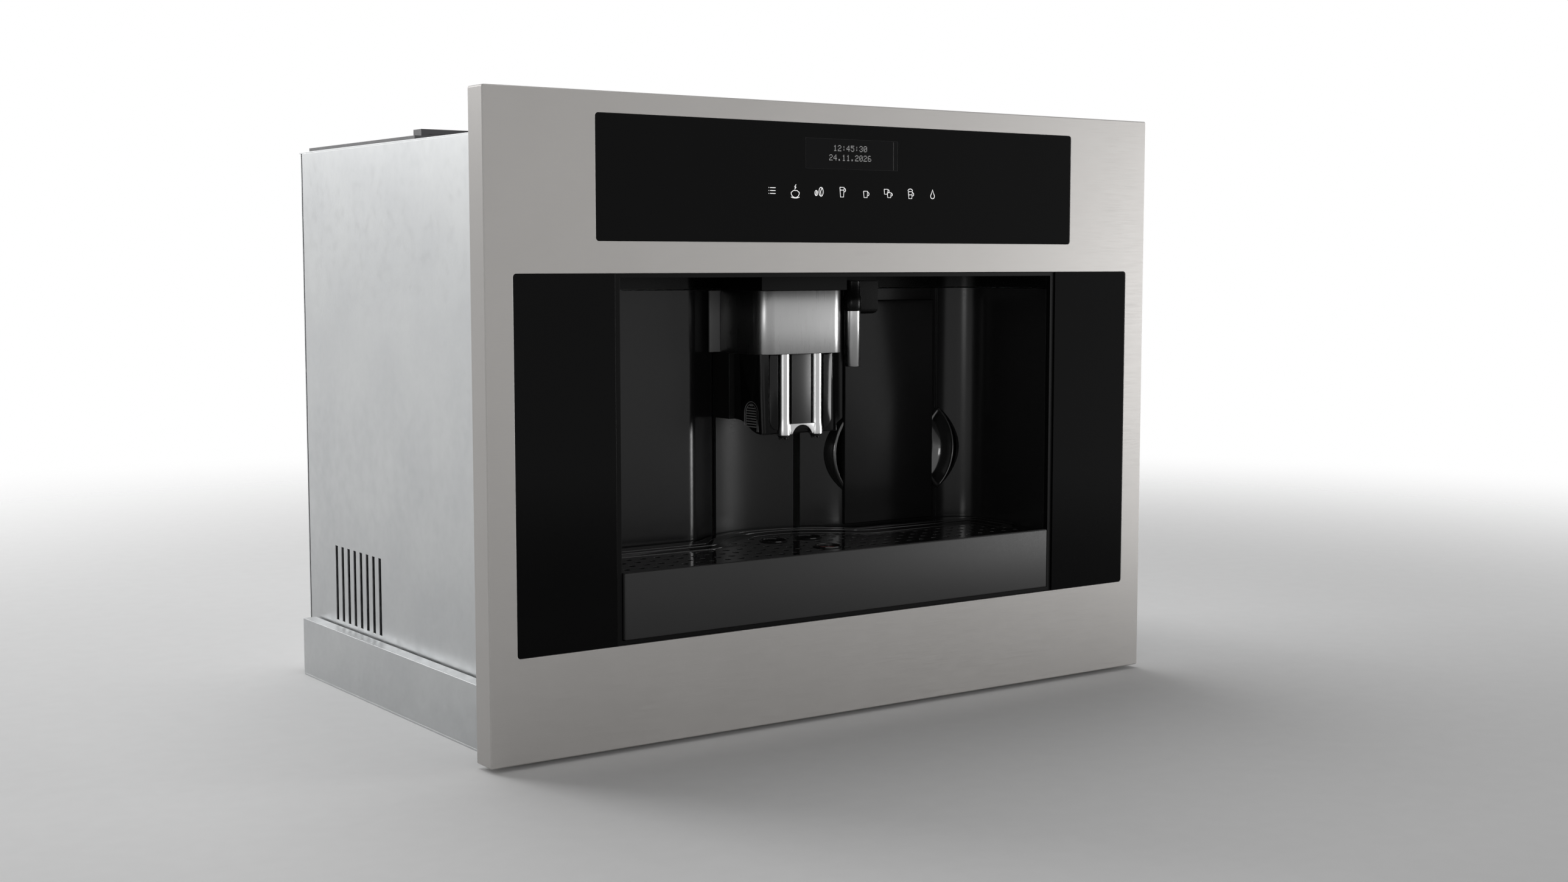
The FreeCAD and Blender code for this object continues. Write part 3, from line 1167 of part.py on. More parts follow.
def hose(points, bend):
    """A hose drawn with six flats: straight runs joined by bends of one radius in three steps."""
    path = [points[0]]
    for before, here, after in zip(points, points[1:], points[2:]):
        way, ahead = (here - before).normalize(), (after - here).normalize()
        turn = way.getAngle(ahead)
        enter = here - way * (bend * math.tan(turn / 2))
        axis = way.cross(ahead).normalize()
        centre = enter + axis.cross(way) * bend
        for step in range(4):
            spoke = Rotation(axis, math.degrees(turn) * step / 3)
            path.append(centre + spoke.multVec(enter - centre))
    path.append(points[-1])
    start = polygon(mm("hose_across"), 6)
    start.Placement = Placement(path[0], Rotation(Vector(0, 0, 1), path[1] - path[0]))
    rings = [[vertex.Point for vertex in start.Vertexes][:6]]
    for before, here, after in zip(path, path[1:], path[2:] + [path[-1] * 2 - path[-2]]):
        way = (here - before).normalize()
        joint = way + (after - here).normalize()
        rings.append([point + way * ((here - point).dot(joint) / way.dot(joint))
                      for point in rings[-1]])
    sides = [[ring[n], ring[(n + 1) % 6], beyond[(n + 1) % 6], beyond[n], ring[n]]
             for ring, beyond in zip(rings, rings[1:]) for n in range(6)]
    sides += [rings[0] + rings[0][:1], rings[-1] + rings[-1][:1]]
    return Part.Solid(Part.Shell([Part.Face(Part.makePolygon(side)) for side in sides]))


def hoses():
    """Two hoses: pump to boiler, and boiler to the brew unit."""
    x = mm("pump_x")
    level = mm("pan_floor") + 10 + mm("pump_across") / 2
    tail = mm("pump_depth") + mm("pump_length") + 12
    top = mm("boiler_top") + 12
    deep = mm("boiler_depth") + 30
    beside = mm("boiler_width") / 2 + 20
    first = hose([Vector(x, tail, level), Vector(x, tail + 14, level),
                  Vector(beside, tail + 14, level), Vector(beside, tail + 14, top + 30),
                  Vector(30, deep, top + 30), Vector(30, deep, top)], 9)
    second = hose([Vector(-30, deep, top), Vector(-30, deep, top + 24),
                   Vector(-30, mm("bulkhead_back") + mm("brew_length"), top + 24)], 12)
    piece(solid(Part.makeCompound([first, second])), "water_hoses")


# ---------------------------------------------------------------- build and write

def check():
    """Stops the build if any feature failed or any sub-part has no sound shape."""
    doc.recompute()
    for thing in doc.Objects:
        if {"Invalid", "Error"} & set(thing.State):
            raise RuntimeError(f"{thing.Name} ({thing.Label}) is {thing.State}")
    for part in pieces:
        if part.Shape.isNull() or not part.Shape.isValid() or part.Shape.Volume <= 0:
            raise RuntimeError(f"{part.Label} has no sound shape")


pieces = []
doc, sheet, places = begin()
steel_front()
glass_panes()
front_frame()
control_parts()
niche_walls()
finger_scoops()
spout_column()
header_and_ceiling()
niche_rim()
tray_shelf()
spout_head()
spout_parts()
hot_water_outlet()
drip_tray()
grounds_drawer()
chassis()
runners()
water_tank()
beans()
powder()
works()
check()
os.makedirs("parts", exist_ok=True)
for part in pieces:
    part.Shape.exportStep(f"parts/{part.Label}.step")
print(len(pieces), "sub-parts written")
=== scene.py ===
"""A built-in coffee machine: its finishes and finer pieces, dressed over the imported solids."""
import math

import bmesh
import bpy
from mathutils import Matrix, Vector


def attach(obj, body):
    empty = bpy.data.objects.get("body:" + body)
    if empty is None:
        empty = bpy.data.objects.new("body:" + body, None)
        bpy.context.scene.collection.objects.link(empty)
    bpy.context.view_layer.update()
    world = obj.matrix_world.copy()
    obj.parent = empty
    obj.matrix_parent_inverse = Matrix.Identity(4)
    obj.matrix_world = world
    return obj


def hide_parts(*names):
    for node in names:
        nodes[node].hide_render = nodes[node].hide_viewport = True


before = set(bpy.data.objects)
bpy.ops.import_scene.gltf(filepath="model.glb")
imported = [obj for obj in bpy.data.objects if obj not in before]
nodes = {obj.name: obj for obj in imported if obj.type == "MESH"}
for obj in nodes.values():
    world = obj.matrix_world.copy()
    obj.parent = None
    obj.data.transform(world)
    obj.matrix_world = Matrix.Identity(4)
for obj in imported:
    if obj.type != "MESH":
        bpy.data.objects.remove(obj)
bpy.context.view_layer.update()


# ---------------------------------------------------------------- view, light and floor
# The machine stands on a pale floor in a plain white room. It is seen from its left front at the
# height of the spout, with a large soft lamp to the right, a weaker one to the left, one
# above and one behind.

lens = bpy.data.cameras.new("left_front_view")
lens.sensor_width = 36
lens.lens = 45.062
camera = bpy.data.objects.new("left_front_view", lens)
camera.location = (-0.869996, -1.342613, 0.335314)
camera.rotation_euler = [math.radians(turn) for turn in (84.8067, 0, -35.2268)]
bpy.context.scene.collection.objects.link(camera)
bpy.context.scene.camera = camera
bpy.context.scene.view_settings.view_transform = "Standard"


def add(tree, kind, sockets=None, **settings):
    """A shader node with its settings, and its sockets set to numbers or linked to others."""
    made = tree.nodes.new("ShaderNode" + kind)
    for word, value in settings.items():
        setattr(made, word, value)
    for name, value in (sockets or {}).items():
        if isinstance(value, bpy.types.NodeSocket):
            tree.links.new(value, made.inputs[name])
        else:
            made.inputs[name].default_value = value
    return made


world = bpy.data.worlds.new("white_room")
bpy.context.scene.world = world
world.use_nodes = True
path = add(world.node_tree, "LightPath")
seen = add(world.node_tree, "Math", {0: path.outputs["Is Camera Ray"],
                                     1: path.outputs["Is Glossy Ray"]}, operation="MAXIMUM")
seen = add(world.node_tree, "Math", {0: seen.outputs[0], 1: path.outputs["Is Transmission Ray"]},
           operation="MAXIMUM")
level = add(world.node_tree, "MapRange", {"Value": seen.outputs[0], "To Min": 0.16, "To Max": 1.0})
world.node_tree.links.new(level.outputs[0],
                          world.node_tree.nodes["Background"].inputs["Strength"])
world.node_tree.nodes["Background"].inputs["Color"].default_value = (1, 1, 1, 1)

for name, place, aim, size, watts in (
        ("right_lamp", (3.0, -1.7, 0.15), (0, -0.15, 0.15), 1.2, 56),
        ("left_lamp", (-2.1, -2.0, 0.5), (0, -0.15, 0.2), 0.6, 7),
        ("top_lamp", (0, 0.75, 2.3), (0, 0.1, 0), 1.5, 19),
        ("back_lamp", (-1.2, 2.2, 1.3), (0, 0, 0.2), 1.2, 22)):
    light = bpy.data.lights.new(name, "AREA")
    light.size = size
    light.energy = watts
    lamp = bpy.data.objects.new(name, light)
    lamp.location = place
    lamp.rotation_euler = (Vector(aim) - Vector(place)).to_track_quat("-Z", "Y").to_euler()
    bpy.context.scene.collection.objects.link(lamp)

FLOOR_RADIUS, FADE_START, FADE_END = 2.4, 0.7, 2.0
floor_mesh = bpy.data.meshes.new("floor")
disc = bmesh.new()
bmesh.ops.create_circle(disc, cap_ends=True, radius=FLOOR_RADIUS, segments=96)
disc.to_mesh(floor_mesh)
disc.free()
floor = bpy.data.objects.new("floor", floor_mesh)
bpy.context.scene.collection.objects.link(floor)
pale = bpy.data.materials.new("pale_floor")
pale.use_nodes = True
tree = pale.node_tree
shader = tree.nodes["Principled BSDF"]
shader.inputs["Roughness"].default_value = 0.7
shader.inputs["Specular IOR Level"].default_value = 0.2
speck = add(tree, "TexNoise", {"Vector": add(tree, "TexCoord").outputs["Object"], "Scale": 60.0})
tint = add(tree, "MapRange", {"Value": speck.outputs[0], "To Min": 0.84, "To Max": 0.88})
tree.links.new(tint.outputs[0], shader.inputs["Base Color"])
reach = add(tree, "VectorMath", {0: add(tree, "TexCoord").outputs["Object"]}, operation="LENGTH")
fade = add(tree, "MapRange", {"Value": reach.outputs["Value"], "From Min": FADE_START,
                              "From Max": FADE_END, "To Min": 1.0, "To Max": 0.0},
           interpolation_type="SMOOTHSTEP")
tree.links.new(fade.outputs[0], shader.inputs["Alpha"])
floor_mesh.materials.append(pale)


# ---------------------------------------------------------------- steel front
# One sheet of stainless steel, folded back at its four sides, with two windows cut in it. Its face
# is ground with a fine grain along the length, and its rim is bevelled.

# Shared surface marks: a grain, a cloud of tone, and a rounded edge normal. The edge mask is partly
# wear rubbed on the edges and partly a painted highlight along them.
marks = bpy.data.node_groups.new("surface_marks", "ShaderNodeTree")
for name, kind in (("Stretch", "Vector"), ("Fineness", "Float"), ("Edge", "Float")):
    marks.interface.new_socket(name, in_out="INPUT", socket_type="NodeSocket" + kind)
for name, kind in (("Grain", "Float"), ("Cloud", "Float"), ("WearAndSheen", "Float"),
                   ("Rounded", "Vector")):
    marks.interface.new_socket(name, in_out="OUTPUT", socket_type="NodeSocket" + kind)
given = marks.nodes.new("NodeGroupInput").outputs
found = marks.nodes.new("NodeGroupOutput").inputs
place = add(marks, "TexCoord").outputs["Object"]
stretched = add(marks, "VectorMath", {0: place, 1: given["Stretch"]}, operation="MULTIPLY")
grain = add(marks, "TexNoise", {"Vector": stretched.outputs[0], "Scale": given["Fineness"],
                                "Detail": 3.0})
cloud = add(marks, "TexNoise", {"Vector": place, "Scale": 16.0, "Detail": 4.0})
rounded = add(marks, "Bevel", {"Radius": given["Edge"]}, samples=4)
facing = add(marks, "NewGeometry").outputs["Normal"]
agree = add(marks, "VectorMath", {0: rounded.outputs[0], 1: facing}, operation="DOT_PRODUCT")
# Lighter where the rounded normal leaves the face: rubbed wear and a painted edge highlight.
wear_and_sheen = add(marks, "MapRange", {"Value": agree.outputs["Value"], "From Min": 0.995, "From Max": 0.8})
patchy = add(marks, "MapRange", {"Value": grain.outputs[0], "From Min": 0.3, "From Max": 0.6})
wear_and_sheen = add(marks, "Math", {0: wear_and_sheen.outputs[0], 1: patchy.outputs[0]}, operation="MULTIPLY")
for name, socket in (("Grain", grain.outputs[0]), ("Cloud", cloud.outputs[0]),
                     ("WearAndSheen", wear_and_sheen.outputs[0]), ("Rounded", rounded.outputs[0])):
    marks.links.new(socket, found[name])


def finish(name, colour, other, rough, metal=0.0, shine=0.5, stretch=(1, 1, 1), fineness=900.0,
           relief=0.1, wear_and_sheen_colour=None, edge=0.0004, glow=0.0):
    """A finish whose colour, gloss and relief vary with the shared surface marks; its edges take a
    colour that is partly wear and partly a painted highlight.
    """
    material = bpy.data.materials.new(name)
    material.use_nodes = True
    tree = material.node_tree
    shader = tree.nodes["Principled BSDF"]
    shader.inputs["Metallic"].default_value = metal
    shader.inputs["Specular IOR Level"].default_value = shine
    mark = add(tree, "Group", node_tree=marks)
    mark.inputs["Stretch"].default_value = stretch
    mark.inputs["Fineness"].default_value = fineness
    mark.inputs["Edge"].default_value = edge
    tone = add(tree, "Mix", {0: mark.outputs["Cloud"], 6: (*colour, 1), 7: (*other, 1)},
               data_type="RGBA")
    # The edge colour is partly wear and partly a painted highlight on the bevels.
    if wear_and_sheen_colour:
        tone = add(tree, "Mix", {0: mark.outputs["WearAndSheen"], 6: tone.outputs[2],
                                 7: (*wear_and_sheen_colour, 1)}, data_type="RGBA")
    tree.links.new(tone.outputs[2], shader.inputs["Base Color"])
    if glow:
        tree.links.new(tone.outputs[2], shader.inputs["Emission Color"])
        shader.inputs["Emission Strength"].default_value = glow
    gloss = add(tree, "MapRange", {"Value": mark.outputs["Grain"], "From Min": 0.3,
                                   "From Max": 0.7, "To Min": rough[0], "To Max": rough[1]})
    tree.links.new(gloss.outputs[0], shader.inputs["Roughness"])
    bump = add(tree, "Bump", {"Height": mark.outputs["Grain"], "Strength": relief,
                              "Distance": 0.0002, "Normal": mark.outputs["Rounded"]})
    tree.links.new(bump.outputs[0], shader.inputs["Normal"])
    return material


def dress(material, *names):
    """Gives CAD nodes a finish."""
    for name in names:
        mesh = nodes[name].data
        if not mesh.materials:
            mesh.materials.append(material)
        for slot in nodes[name].material_slots:
            slot.material = material


brushed_steel = finish("brushed_steel", (0.44, 0.425, 0.41), (0.47, 0.455, 0.44), (0.34, 0.46),
                       metal=0.3, shine=0.3, stretch=(0.03, 1, 1), fineness=1600.0, relief=0.14,
                       wear_and_sheen_colour=(0.8, 0.8, 0.79))
dress(brushed_steel, "front_fascia")


# ---------------------------------------------------------------- glass panes
# Black-backed safety glass, polished and set flush in the steel front: the control pane above, and
# a pane each side of the niche. A thin moulded frame behind carries them. The frame and the other
# plain black mouldings are satin. Those in the shade of the front get a darker, duller copy:
# painted shade.

black_glass = finish("black_glass", (0.0022, 0.0022, 0.0023), (0.003, 0.003, 0.0031), (0.04, 0.07),
                     shine=0.06, fineness=300.0, relief=0.01, wear_and_sheen_colour=(0.02, 0.02, 0.02))
dress(black_glass, "control_glass", "left_glass", "right_glass")
satin_black = finish("satin_black", (0.006, 0.006, 0.006), (0.009, 0.009, 0.009), (0.32, 0.45),
                     shine=0.25, fineness=1400.0, relief=0.12, wear_and_sheen_colour=(0.03, 0.03, 0.03))
dress(satin_black, "front_frame", "drip_basin", "grounds_bin", "spout_column")
# A darker, duller copy of satin black for the mouldings in the shade of the front: painted shade.
painted_shade_black = finish("painted_shade_black", (0.0022, 0.0022, 0.0022), (0.003, 0.003, 0.003), (0.4, 0.5),
                     shine=0.06, fineness=1400.0, relief=0.08)
dress(painted_shade_black, "niche_rim", "tray_shelf", "niche_ceiling")


# ---------------------------------------------------------------- display and touch signs
# A character display glows through the glass in dots, inside a dark frame line, and eight signs
# are lit under it. All lie on the back of the pane in the real machine, and on its face here.

FRONT = 198
GLASS_FACE = 0.3
DISPLAY_LEFT, DISPLAY_RIGHT, DISPLAY_LOW, DISPLAY_HIGH = -42.6, 41, 402.6, 424
DISPLAY_BAR = 37
TEXT_MIDDLE, TEXT_HIGH, TEXT_LOW, DOT, DOT_STEP, LETTER_STEP = -2.7, 419.4, 412.6, 0.5, 0.62, 3.9
SIGN_HEIGHT, SIGN_LINE = 386, 0.55
SIGN_PLACES = (-72, -51.8, -30.7, -9.7, 11.8, 32.3, 53.7, 74.5)


def at(x, deep, z):
    """A point in metres from millimetres across, back from the front plane, and up."""
    return Vector((x, deep - FRONT, z)) / 1000


def piece(name, shape, material, body, slot, *replaced, crease=32, turned=True):
    """Makes a finished mesh of a shape, its faces turned outwards, and lets it ride on its body."""
    if turned:
        bmesh.ops.remove_doubles(shape, verts=shape.verts, dist=1e-6)
        bmesh.ops.recalc_face_normals(shape, faces=shape.faces)
    for face in shape.faces:
        face.smooth = True
    for edge in shape.edges:
        if len(edge.link_faces) == 2:
            edge.smooth = edge.calc_face_angle() < math.radians(crease)
    mesh = bpy.data.meshes.new(name)
    shape.to_mesh(mesh)
    shape.free()
    mesh.materials.append(material)
    made = bpy.data.objects.new(name, mesh)
    bpy.context.scene.collection.objects.link(made)
    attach(made, body)
    if replaced:
        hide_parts(*replaced)
    return made


def put_in(whole, part):
    """Adds one shape to another."""
    mesh = bpy.data.meshes.new("part")
    part.to_mesh(mesh)
    part.free()
    whole.from_mesh(mesh)
    bpy.data.meshes.remove(mesh)
    return whole


def slab(low, high, soft=0.0, steps=2, chosen=None):
    """A block between two corners, with its chosen edges rounded by so many millimetres."""
    shape = bmesh.new()
    bmesh.ops.create_cube(shape, size=1)
    bmesh.ops.scale(shape, vec=high - low, verts=shape.verts)
    bmesh.ops.translate(shape, vec=(low + high) / 2, verts=shape.verts)
    if soft:
        edges = [edge for edge in shape.edges if chosen is None or chosen(edge)]
        bmesh.ops.bevel(shape, geom=edges, offset=soft / 1000, offset_type="OFFSET",
                        affect="EDGES", segments=steps, profile=0.5, material=-1)
    return shape


def stroke(points, wide, closed=False):
    """A thin raised line through points."""
    curve = bpy.data.curves.new("line", "CURVE")
    curve.dimensions = "3D"
    curve.bevel_depth = wide / 2000
    curve.bevel_resolution = 1
    spline = curve.splines.new("POLY")
    spline.points.add(len(points) - 1)
    for point, spot in zip(spline.points, points):
        point.co = (*spot, 1)
    spline.use_cyclic_u = closed
    holder = bpy.data.objects.new("line", curve)
    mesh = bpy.data.meshes.new_from_object(holder)
    shape = bmesh.new()
    shape.from_mesh(mesh)
    bpy.data.objects.remove(holder)
    bpy.data.meshes.remove(mesh)
    bpy.data.curves.remove(curve)
    return shape


DIGITS = {
    "0": "01110 10001 10011 10101 11001 10001 01110",
    "1": "00100 01100 00100 00100 00100 00100 01110",
    "2": "01110 10001 00001 00110 01000 10000 11111",
    "3": "01110 10001 00001 00110 00001 10001 01110",
    "4": "00010 00110 01010 10010 11111 00010 00010",
    "5": "11111 10000 11110 00001 00001 10001 01110",
    "6": "01110 10000 10000 11110 10001 10001 01110",
    "7": "11111 00001 00010 00100 01000 01000 01000",
    "8": "01110 10001 10001 01110 10001 10001 01110",
    "9": "01110 10001 10001 01111 00001 00001 01110",
    ":": "00000 00100 00100 00000 00100 00100 00000",
    ".": "00000 00000 00000 00000 00000 01100 01100"}


def lcd_row(words, top):
    """A row of dotted characters, each five dots wide and seven high."""
    row = bmesh.new()
    start = TEXT_MIDDLE - LETTER_STEP * (len(words) - 1) / 2 - 2 * DOT_STEP
    for place, word in enumerate(words):
        for down, line in enumerate(DIGITS[word].split()):
            for across, on in enumerate(line):
                if on == "1":
                    x = start + place * LETTER_STEP + across * DOT_STEP
                    z = top - down * DOT_STEP
                    put_in(row, slab(at(x - DOT / 2, GLASS_FACE - 0.06, z - DOT / 2),
                                     at(x + DOT / 2, GLASS_FACE, z + DOT / 2)))
    return row


screen_tone = finish("screen", (0.0045, 0.0045, 0.0048), (0.006, 0.006, 0.0064), (0.1, 0.2),
                     shine=0.06)
lit_dots = finish("lit_dots", (0.3, 0.3, 0.3), (0.34, 0.34, 0.34), (0.4, 0.5), glow=0.45)
lit_signs = finish("lit_signs", (0.75, 0.75, 0.75), (0.8, 0.8, 0.8), (0.4, 0.5), glow=0.8)
window = slab(at(DISPLAY_LEFT, GLASS_FACE - 0.02, DISPLAY_LOW),
              at(DISPLAY_RIGHT, GLASS_FACE + 0.1, DISPLAY_HIGH))
piece("display_window", window, screen_tone, "machine", "screen")
outline = stroke([at(DISPLAY_LEFT, GLASS_FACE, DISPLAY_LOW),
                  at(DISPLAY_RIGHT, GLASS_FACE, DISPLAY_LOW),
                  at(DISPLAY_RIGHT, GLASS_FACE, DISPLAY_HIGH),
                  at(DISPLAY_LEFT, GLASS_FACE, DISPLAY_HIGH)], 0.16, closed=True)
put_in(outline, stroke([at(DISPLAY_BAR, GLASS_FACE, DISPLAY_LOW + 0.4),
                        at(DISPLAY_BAR, GLASS_FACE, DISPLAY_HIGH - 0.4)], 0.3))
frame_line = finish("display_line", (0.02, 0.02, 0.02), (0.03, 0.03, 0.03), (0.3, 0.4))
piece("display_line", outline, frame_line, "machine", "screen")
rows = put_in(lcd_row("12:45:30", TEXT_HIGH), lcd_row("24.11.2026", TEXT_LOW))
piece("display_digits", rows, lit_dots, "machine", "screen", turned=False)


def arc(x, z, radius, start, end, steps=10, tall=1.0):
    """Points round a flat arc on the glass, in millimetres and degrees."""
    turns = [math.radians(start + (end - start) * n / steps) for n in range(steps + 1)]
    return [at(x + radius * math.cos(turn), GLASS_FACE, z + radius * tall * math.sin(turn))
            for turn in turns]


def flat(*spots):
    """Points on the glass from pairs of across and up."""
    return [at(x, GLASS_FACE, z) for x, z in spots]


def sign_lines(number, x, z):
    """The strokes of one touch sign."""
    if number == 0:
        return [flat((x - 3 + dx, z + up), (x + far, z + up)) for up in (-2, 0, 2)
                for dx, far in ((0, -2.4), (1.4, 3))]
    if number == 1:
        return [arc(x, z - 1, 3.6, 180, 360), arc(x, z - 3.4, 4.2, 210, 330, tall=0.35),
                flat((x - 3.6, z - 1), (x - 1.6, z + 0.4), (x + 1.6, z + 0.4), (x + 3.6, z - 1)),
                arc(x - 0.8, z + 2.2, 0.9, -90, 90, 6), arc(x + 0.8, z + 3.6, 0.9, 90, 270, 6)]
    if number == 2:
        bean = [arc(x + 1.7, z, 1.9, 0, 360, 14, 1.7), flat((x + 2.4, z + 2.6), (x + 1.2, z),
                                                          (x + 1.7, z - 2.8))]
        return bean + [arc(x - 2.6, z - 1, 1.2, 0, 360, 10, 1.6),
                       flat((x - 2.2, z + 0.4), (x - 2.8, z - 2.4))]
    if number in (3, 4, 6):
        wide, top = {3: (2.4, 3.6), 4: (2.4, 1.2), 6: (2.4, 1.8)}[number]
        lines = [flat((x - wide, z + top), (x - wide + 0.5, z - 3.4), (x + wide - 1.5, z - 3.4),
                      (x + wide - 1, z + top), (x - wide, z + top)),
                 arc(x + wide - 1, z + top - 2, 1.3, -90, 90, 6)]
        if number == 6:
            lines += [arc(x - 0.6, z + 2.2, 2.2, 0, 180, 8, 0.7),
                      flat((x - 2.2, z - 0.6), (x + 1.3, z - 0.6))]
        if number == 3:
            lines += [flat((x - 2.2, z + 1.6), (x + 1.3, z + 1.6))]
        return lines
    if number == 5:
        lines = []
        for dx, dz in ((-1.6, 1.4), (1.4, -1)):
            cup_x, cup_z = x + dx, z + dz
            lines += [flat((cup_x - 2.2, cup_z + 1.6), (cup_x - 1.8, cup_z - 2),
                           (cup_x + 1, cup_z - 2), (cup_x + 1.4, cup_z + 1.6),
                           (cup_x - 2.2, cup_z + 1.6)),
                      arc(cup_x + 1.4, cup_z + 0.2, 1.1, -90, 90, 6)]
        return lines
    return [[*arc(x, z - 1.2, 1.9, -230, 50, 12), at(x, GLASS_FACE, z + 3.6)]]


signs = bmesh.new()
for number, x in enumerate(SIGN_PLACES):
    for line in sign_lines(number, x, SIGN_HEIGHT):
        put_in(signs, stroke(line, SIGN_LINE, closed=number == 7))
piece("touch_signs", signs, lit_signs, "machine", "lamp", turned=False)


# ---------------------------------------------------------------- niche walls
# A gloss black moulding bent round the niche: straight sides, a round corner, a flat back, a
# shoulder, and a round recess behind the spout. The right half is open for the two scoops and the
# grounds bin, and has an upright groove. A header band of the same form stands on the walls.

gloss_black = finish("gloss_black", (0.003, 0.003, 0.0031), (0.004, 0.004, 0.0041), (0.08, 0.13),
                     shine=0.2, fineness=500.0, relief=0.02, wear_and_sheen_colour=(0.12, 0.12, 0.12))
wall_black = finish("wall_black", (0.011, 0.011, 0.0113), (0.013, 0.013, 0.0133), (0.17, 0.24),
                    shine=0.22, fineness=700.0, relief=0.02)

NICHE_HALF, NICHE_FRONT, FLAT, BEND = 196, 6, 104, 29
RECESS, RECESS_DEEP, SHOULDER = 100, 34, 15


def upright_edge(x, deep, low, high):
    """A new shape that holds one upright edge."""
    shape = bmesh.new()
    return shape, shape.edges.new([shape.verts.new(at(x, deep, z)) for z in (low, high)])


def run(shape, edge, x, deep):
    """Draws an upright edge out in a straight line, to a point in plan."""
    new = bmesh.ops.extrude_edge_only(shape, edges=[edge])["geom"]
    verts = [item for item in new if isinstance(item, bmesh.types.BMVert)]
    move = at(x, deep, 0) - Vector((verts[0].co.x, verts[0].co.y, 0))
    bmesh.ops.translate(shape, vec=move, verts=verts)
    return shape.edges.get(verts)


def turn(shape, edge, x, deep, angle, steps):
    """Draws an upright edge round an arc in plan."""
    last = bmesh.ops.spin(shape, geom=[edge, *edge.verts], cent=at(x, deep, 0), axis=(0, 0, 1),
                          angle=angle, steps=steps)["geom_last"]
    return [item for item in last if isinstance(item, bmesh.types.BMEdge)][0]


def niche_run(gap, front, low, high, end_x):
    """A strip that follows the right half of the niche wall at a gap, up to a place across."""
    side = NICHE_HALF - gap
    shape, edge = upright_edge(side, front, low, high)
    edge = run(shape, edge, side, FLAT - BEND)
    edge = turn(shape, edge, NICHE_HALF - BEND, FLAT - BEND, math.pi / 2, 16)
    over_x = math.sqrt((RECESS + SHOULDER) ** 2 - (FLAT + SHOULDER - RECESS_DEEP) ** 2)
    edge = run(shape, edge, over_x, FLAT - gap)
    lean = math.atan2(over_x, FLAT + SHOULDER - RECESS_DEEP)
    edge = turn(shape, edge, over_x, FLAT + SHOULDER, -lean, 10)
    turn(shape, edge, 0, RECESS_DEEP, lean - math.asin(end_x / (RECESS - gap)), 14)
    return shape


def thickened(shape, thick, outwards):
    """A sheet given its thickness, on the side away from a direction at its first face."""
    bmesh.ops.remove_doubles(shape, verts=shape.verts, dist=1e-6)
    bmesh.ops.recalc_face_normals(shape, faces=shape.faces)
    shape.faces.ensure_lookup_table()
    if shape.faces[0].normal.dot(Vector(outwards)) < 0:
        bmesh.ops.reverse_faces(shape, faces=shape.faces)
    bmesh.ops.solidify(shape, geom=shape.faces[:], thickness=thick / 1000)
    return shape


def mirrored(shape):
    """A shape turned over from right to left."""
    bmesh.ops.scale(shape, vec=(-1, 1, 1), verts=shape.verts)
    bmesh.ops.reverse_faces(shape, faces=shape.faces)
    return shape


def carved(shape, *cutters):
    """A shape with the room of each cutter taken away."""
    things = []
    for form in (shape, *cutters):
        mesh = bpy.data.meshes.new("carving")
        form.to_mesh(mesh)
        form.free()
        things.append(bpy.data.objects.new("carving", mesh))
        bpy.context.scene.collection.objects.link(things[-1])
    for tool in things[1:]:
        step = things[0].modifiers.new("cut", "BOOLEAN")
        step.operation = "DIFFERENCE"
        step.solver = "EXACT"
        step.object = tool
    ready = things[0].evaluated_get(bpy.context.evaluated_depsgraph_get())
    result = bmesh.new()
    result.from_mesh(ready.to_mesh())
    for thing in things:
        bpy.data.meshes.remove(thing.data)
    return result


def lens_outline(x, deep, z, high, bulge, steps=20):
    """A flat face that stands on its point between two round flanks, facing the front."""
    shape = bmesh.new()
    flank = (high ** 2 + bulge ** 2) / (2 * bulge)
    swing = 2 * math.asin(high / flank)
    for sign in (-1, 1):
        tip = shape.verts.new(at(x, deep, z - high))
        bmesh.ops.spin(shape, geom=[tip], cent=at(x - sign * (flank - bulge), deep, z),
                       axis=(0, -1, 0), angle=sign * swing, steps=steps)
    bmesh.ops.remove_doubles(shape, verts=shape.verts, dist=1e-6)
    bmesh.ops.contextual_create(shape, geom=shape.edges[:])
    bmesh.ops.recalc_face_normals(shape, faces=shape.faces)
    if shape.faces[:][0].normal.y > 0:
        bmesh.ops.reverse_faces(shape, faces=shape.faces)
    return shape


def drawn_back(shape, long):
    """A flat face drawn straight back into a bar."""
    new = bmesh.ops.extrude_face_region(shape, geom=shape.faces[:])["geom"]
    bmesh.ops.translate(shape, vec=(0, long / 1000, 0),
                        verts=[item for item in new if isinstance(item, bmesh.types.BMVert)])
    bmesh.ops.recalc_face_normals(shape, faces=shape.faces)
    return shape


WALL_LOW, WALL_HIGH, WALL_THICK, STRIP_HALF = 77.4, 314.7, 2.5, 42
HEADER_LOW, HEADER_HIGH = 315.5, 332


def wall_half():
    """The right half of the niche wall, up to the middle strip."""
    return thickened(niche_run(0, NICHE_FRONT, WALL_LOW, WALL_HIGH, STRIP_HALF), WALL_THICK,
                     (-1, 0, 0))


def header_half():
    """The right half of the header band, up to the middle."""
    return thickened(niche_run(0, NICHE_FRONT, HEADER_LOW, HEADER_HIGH, 0), WALL_THICK, (-1, 0, 0))


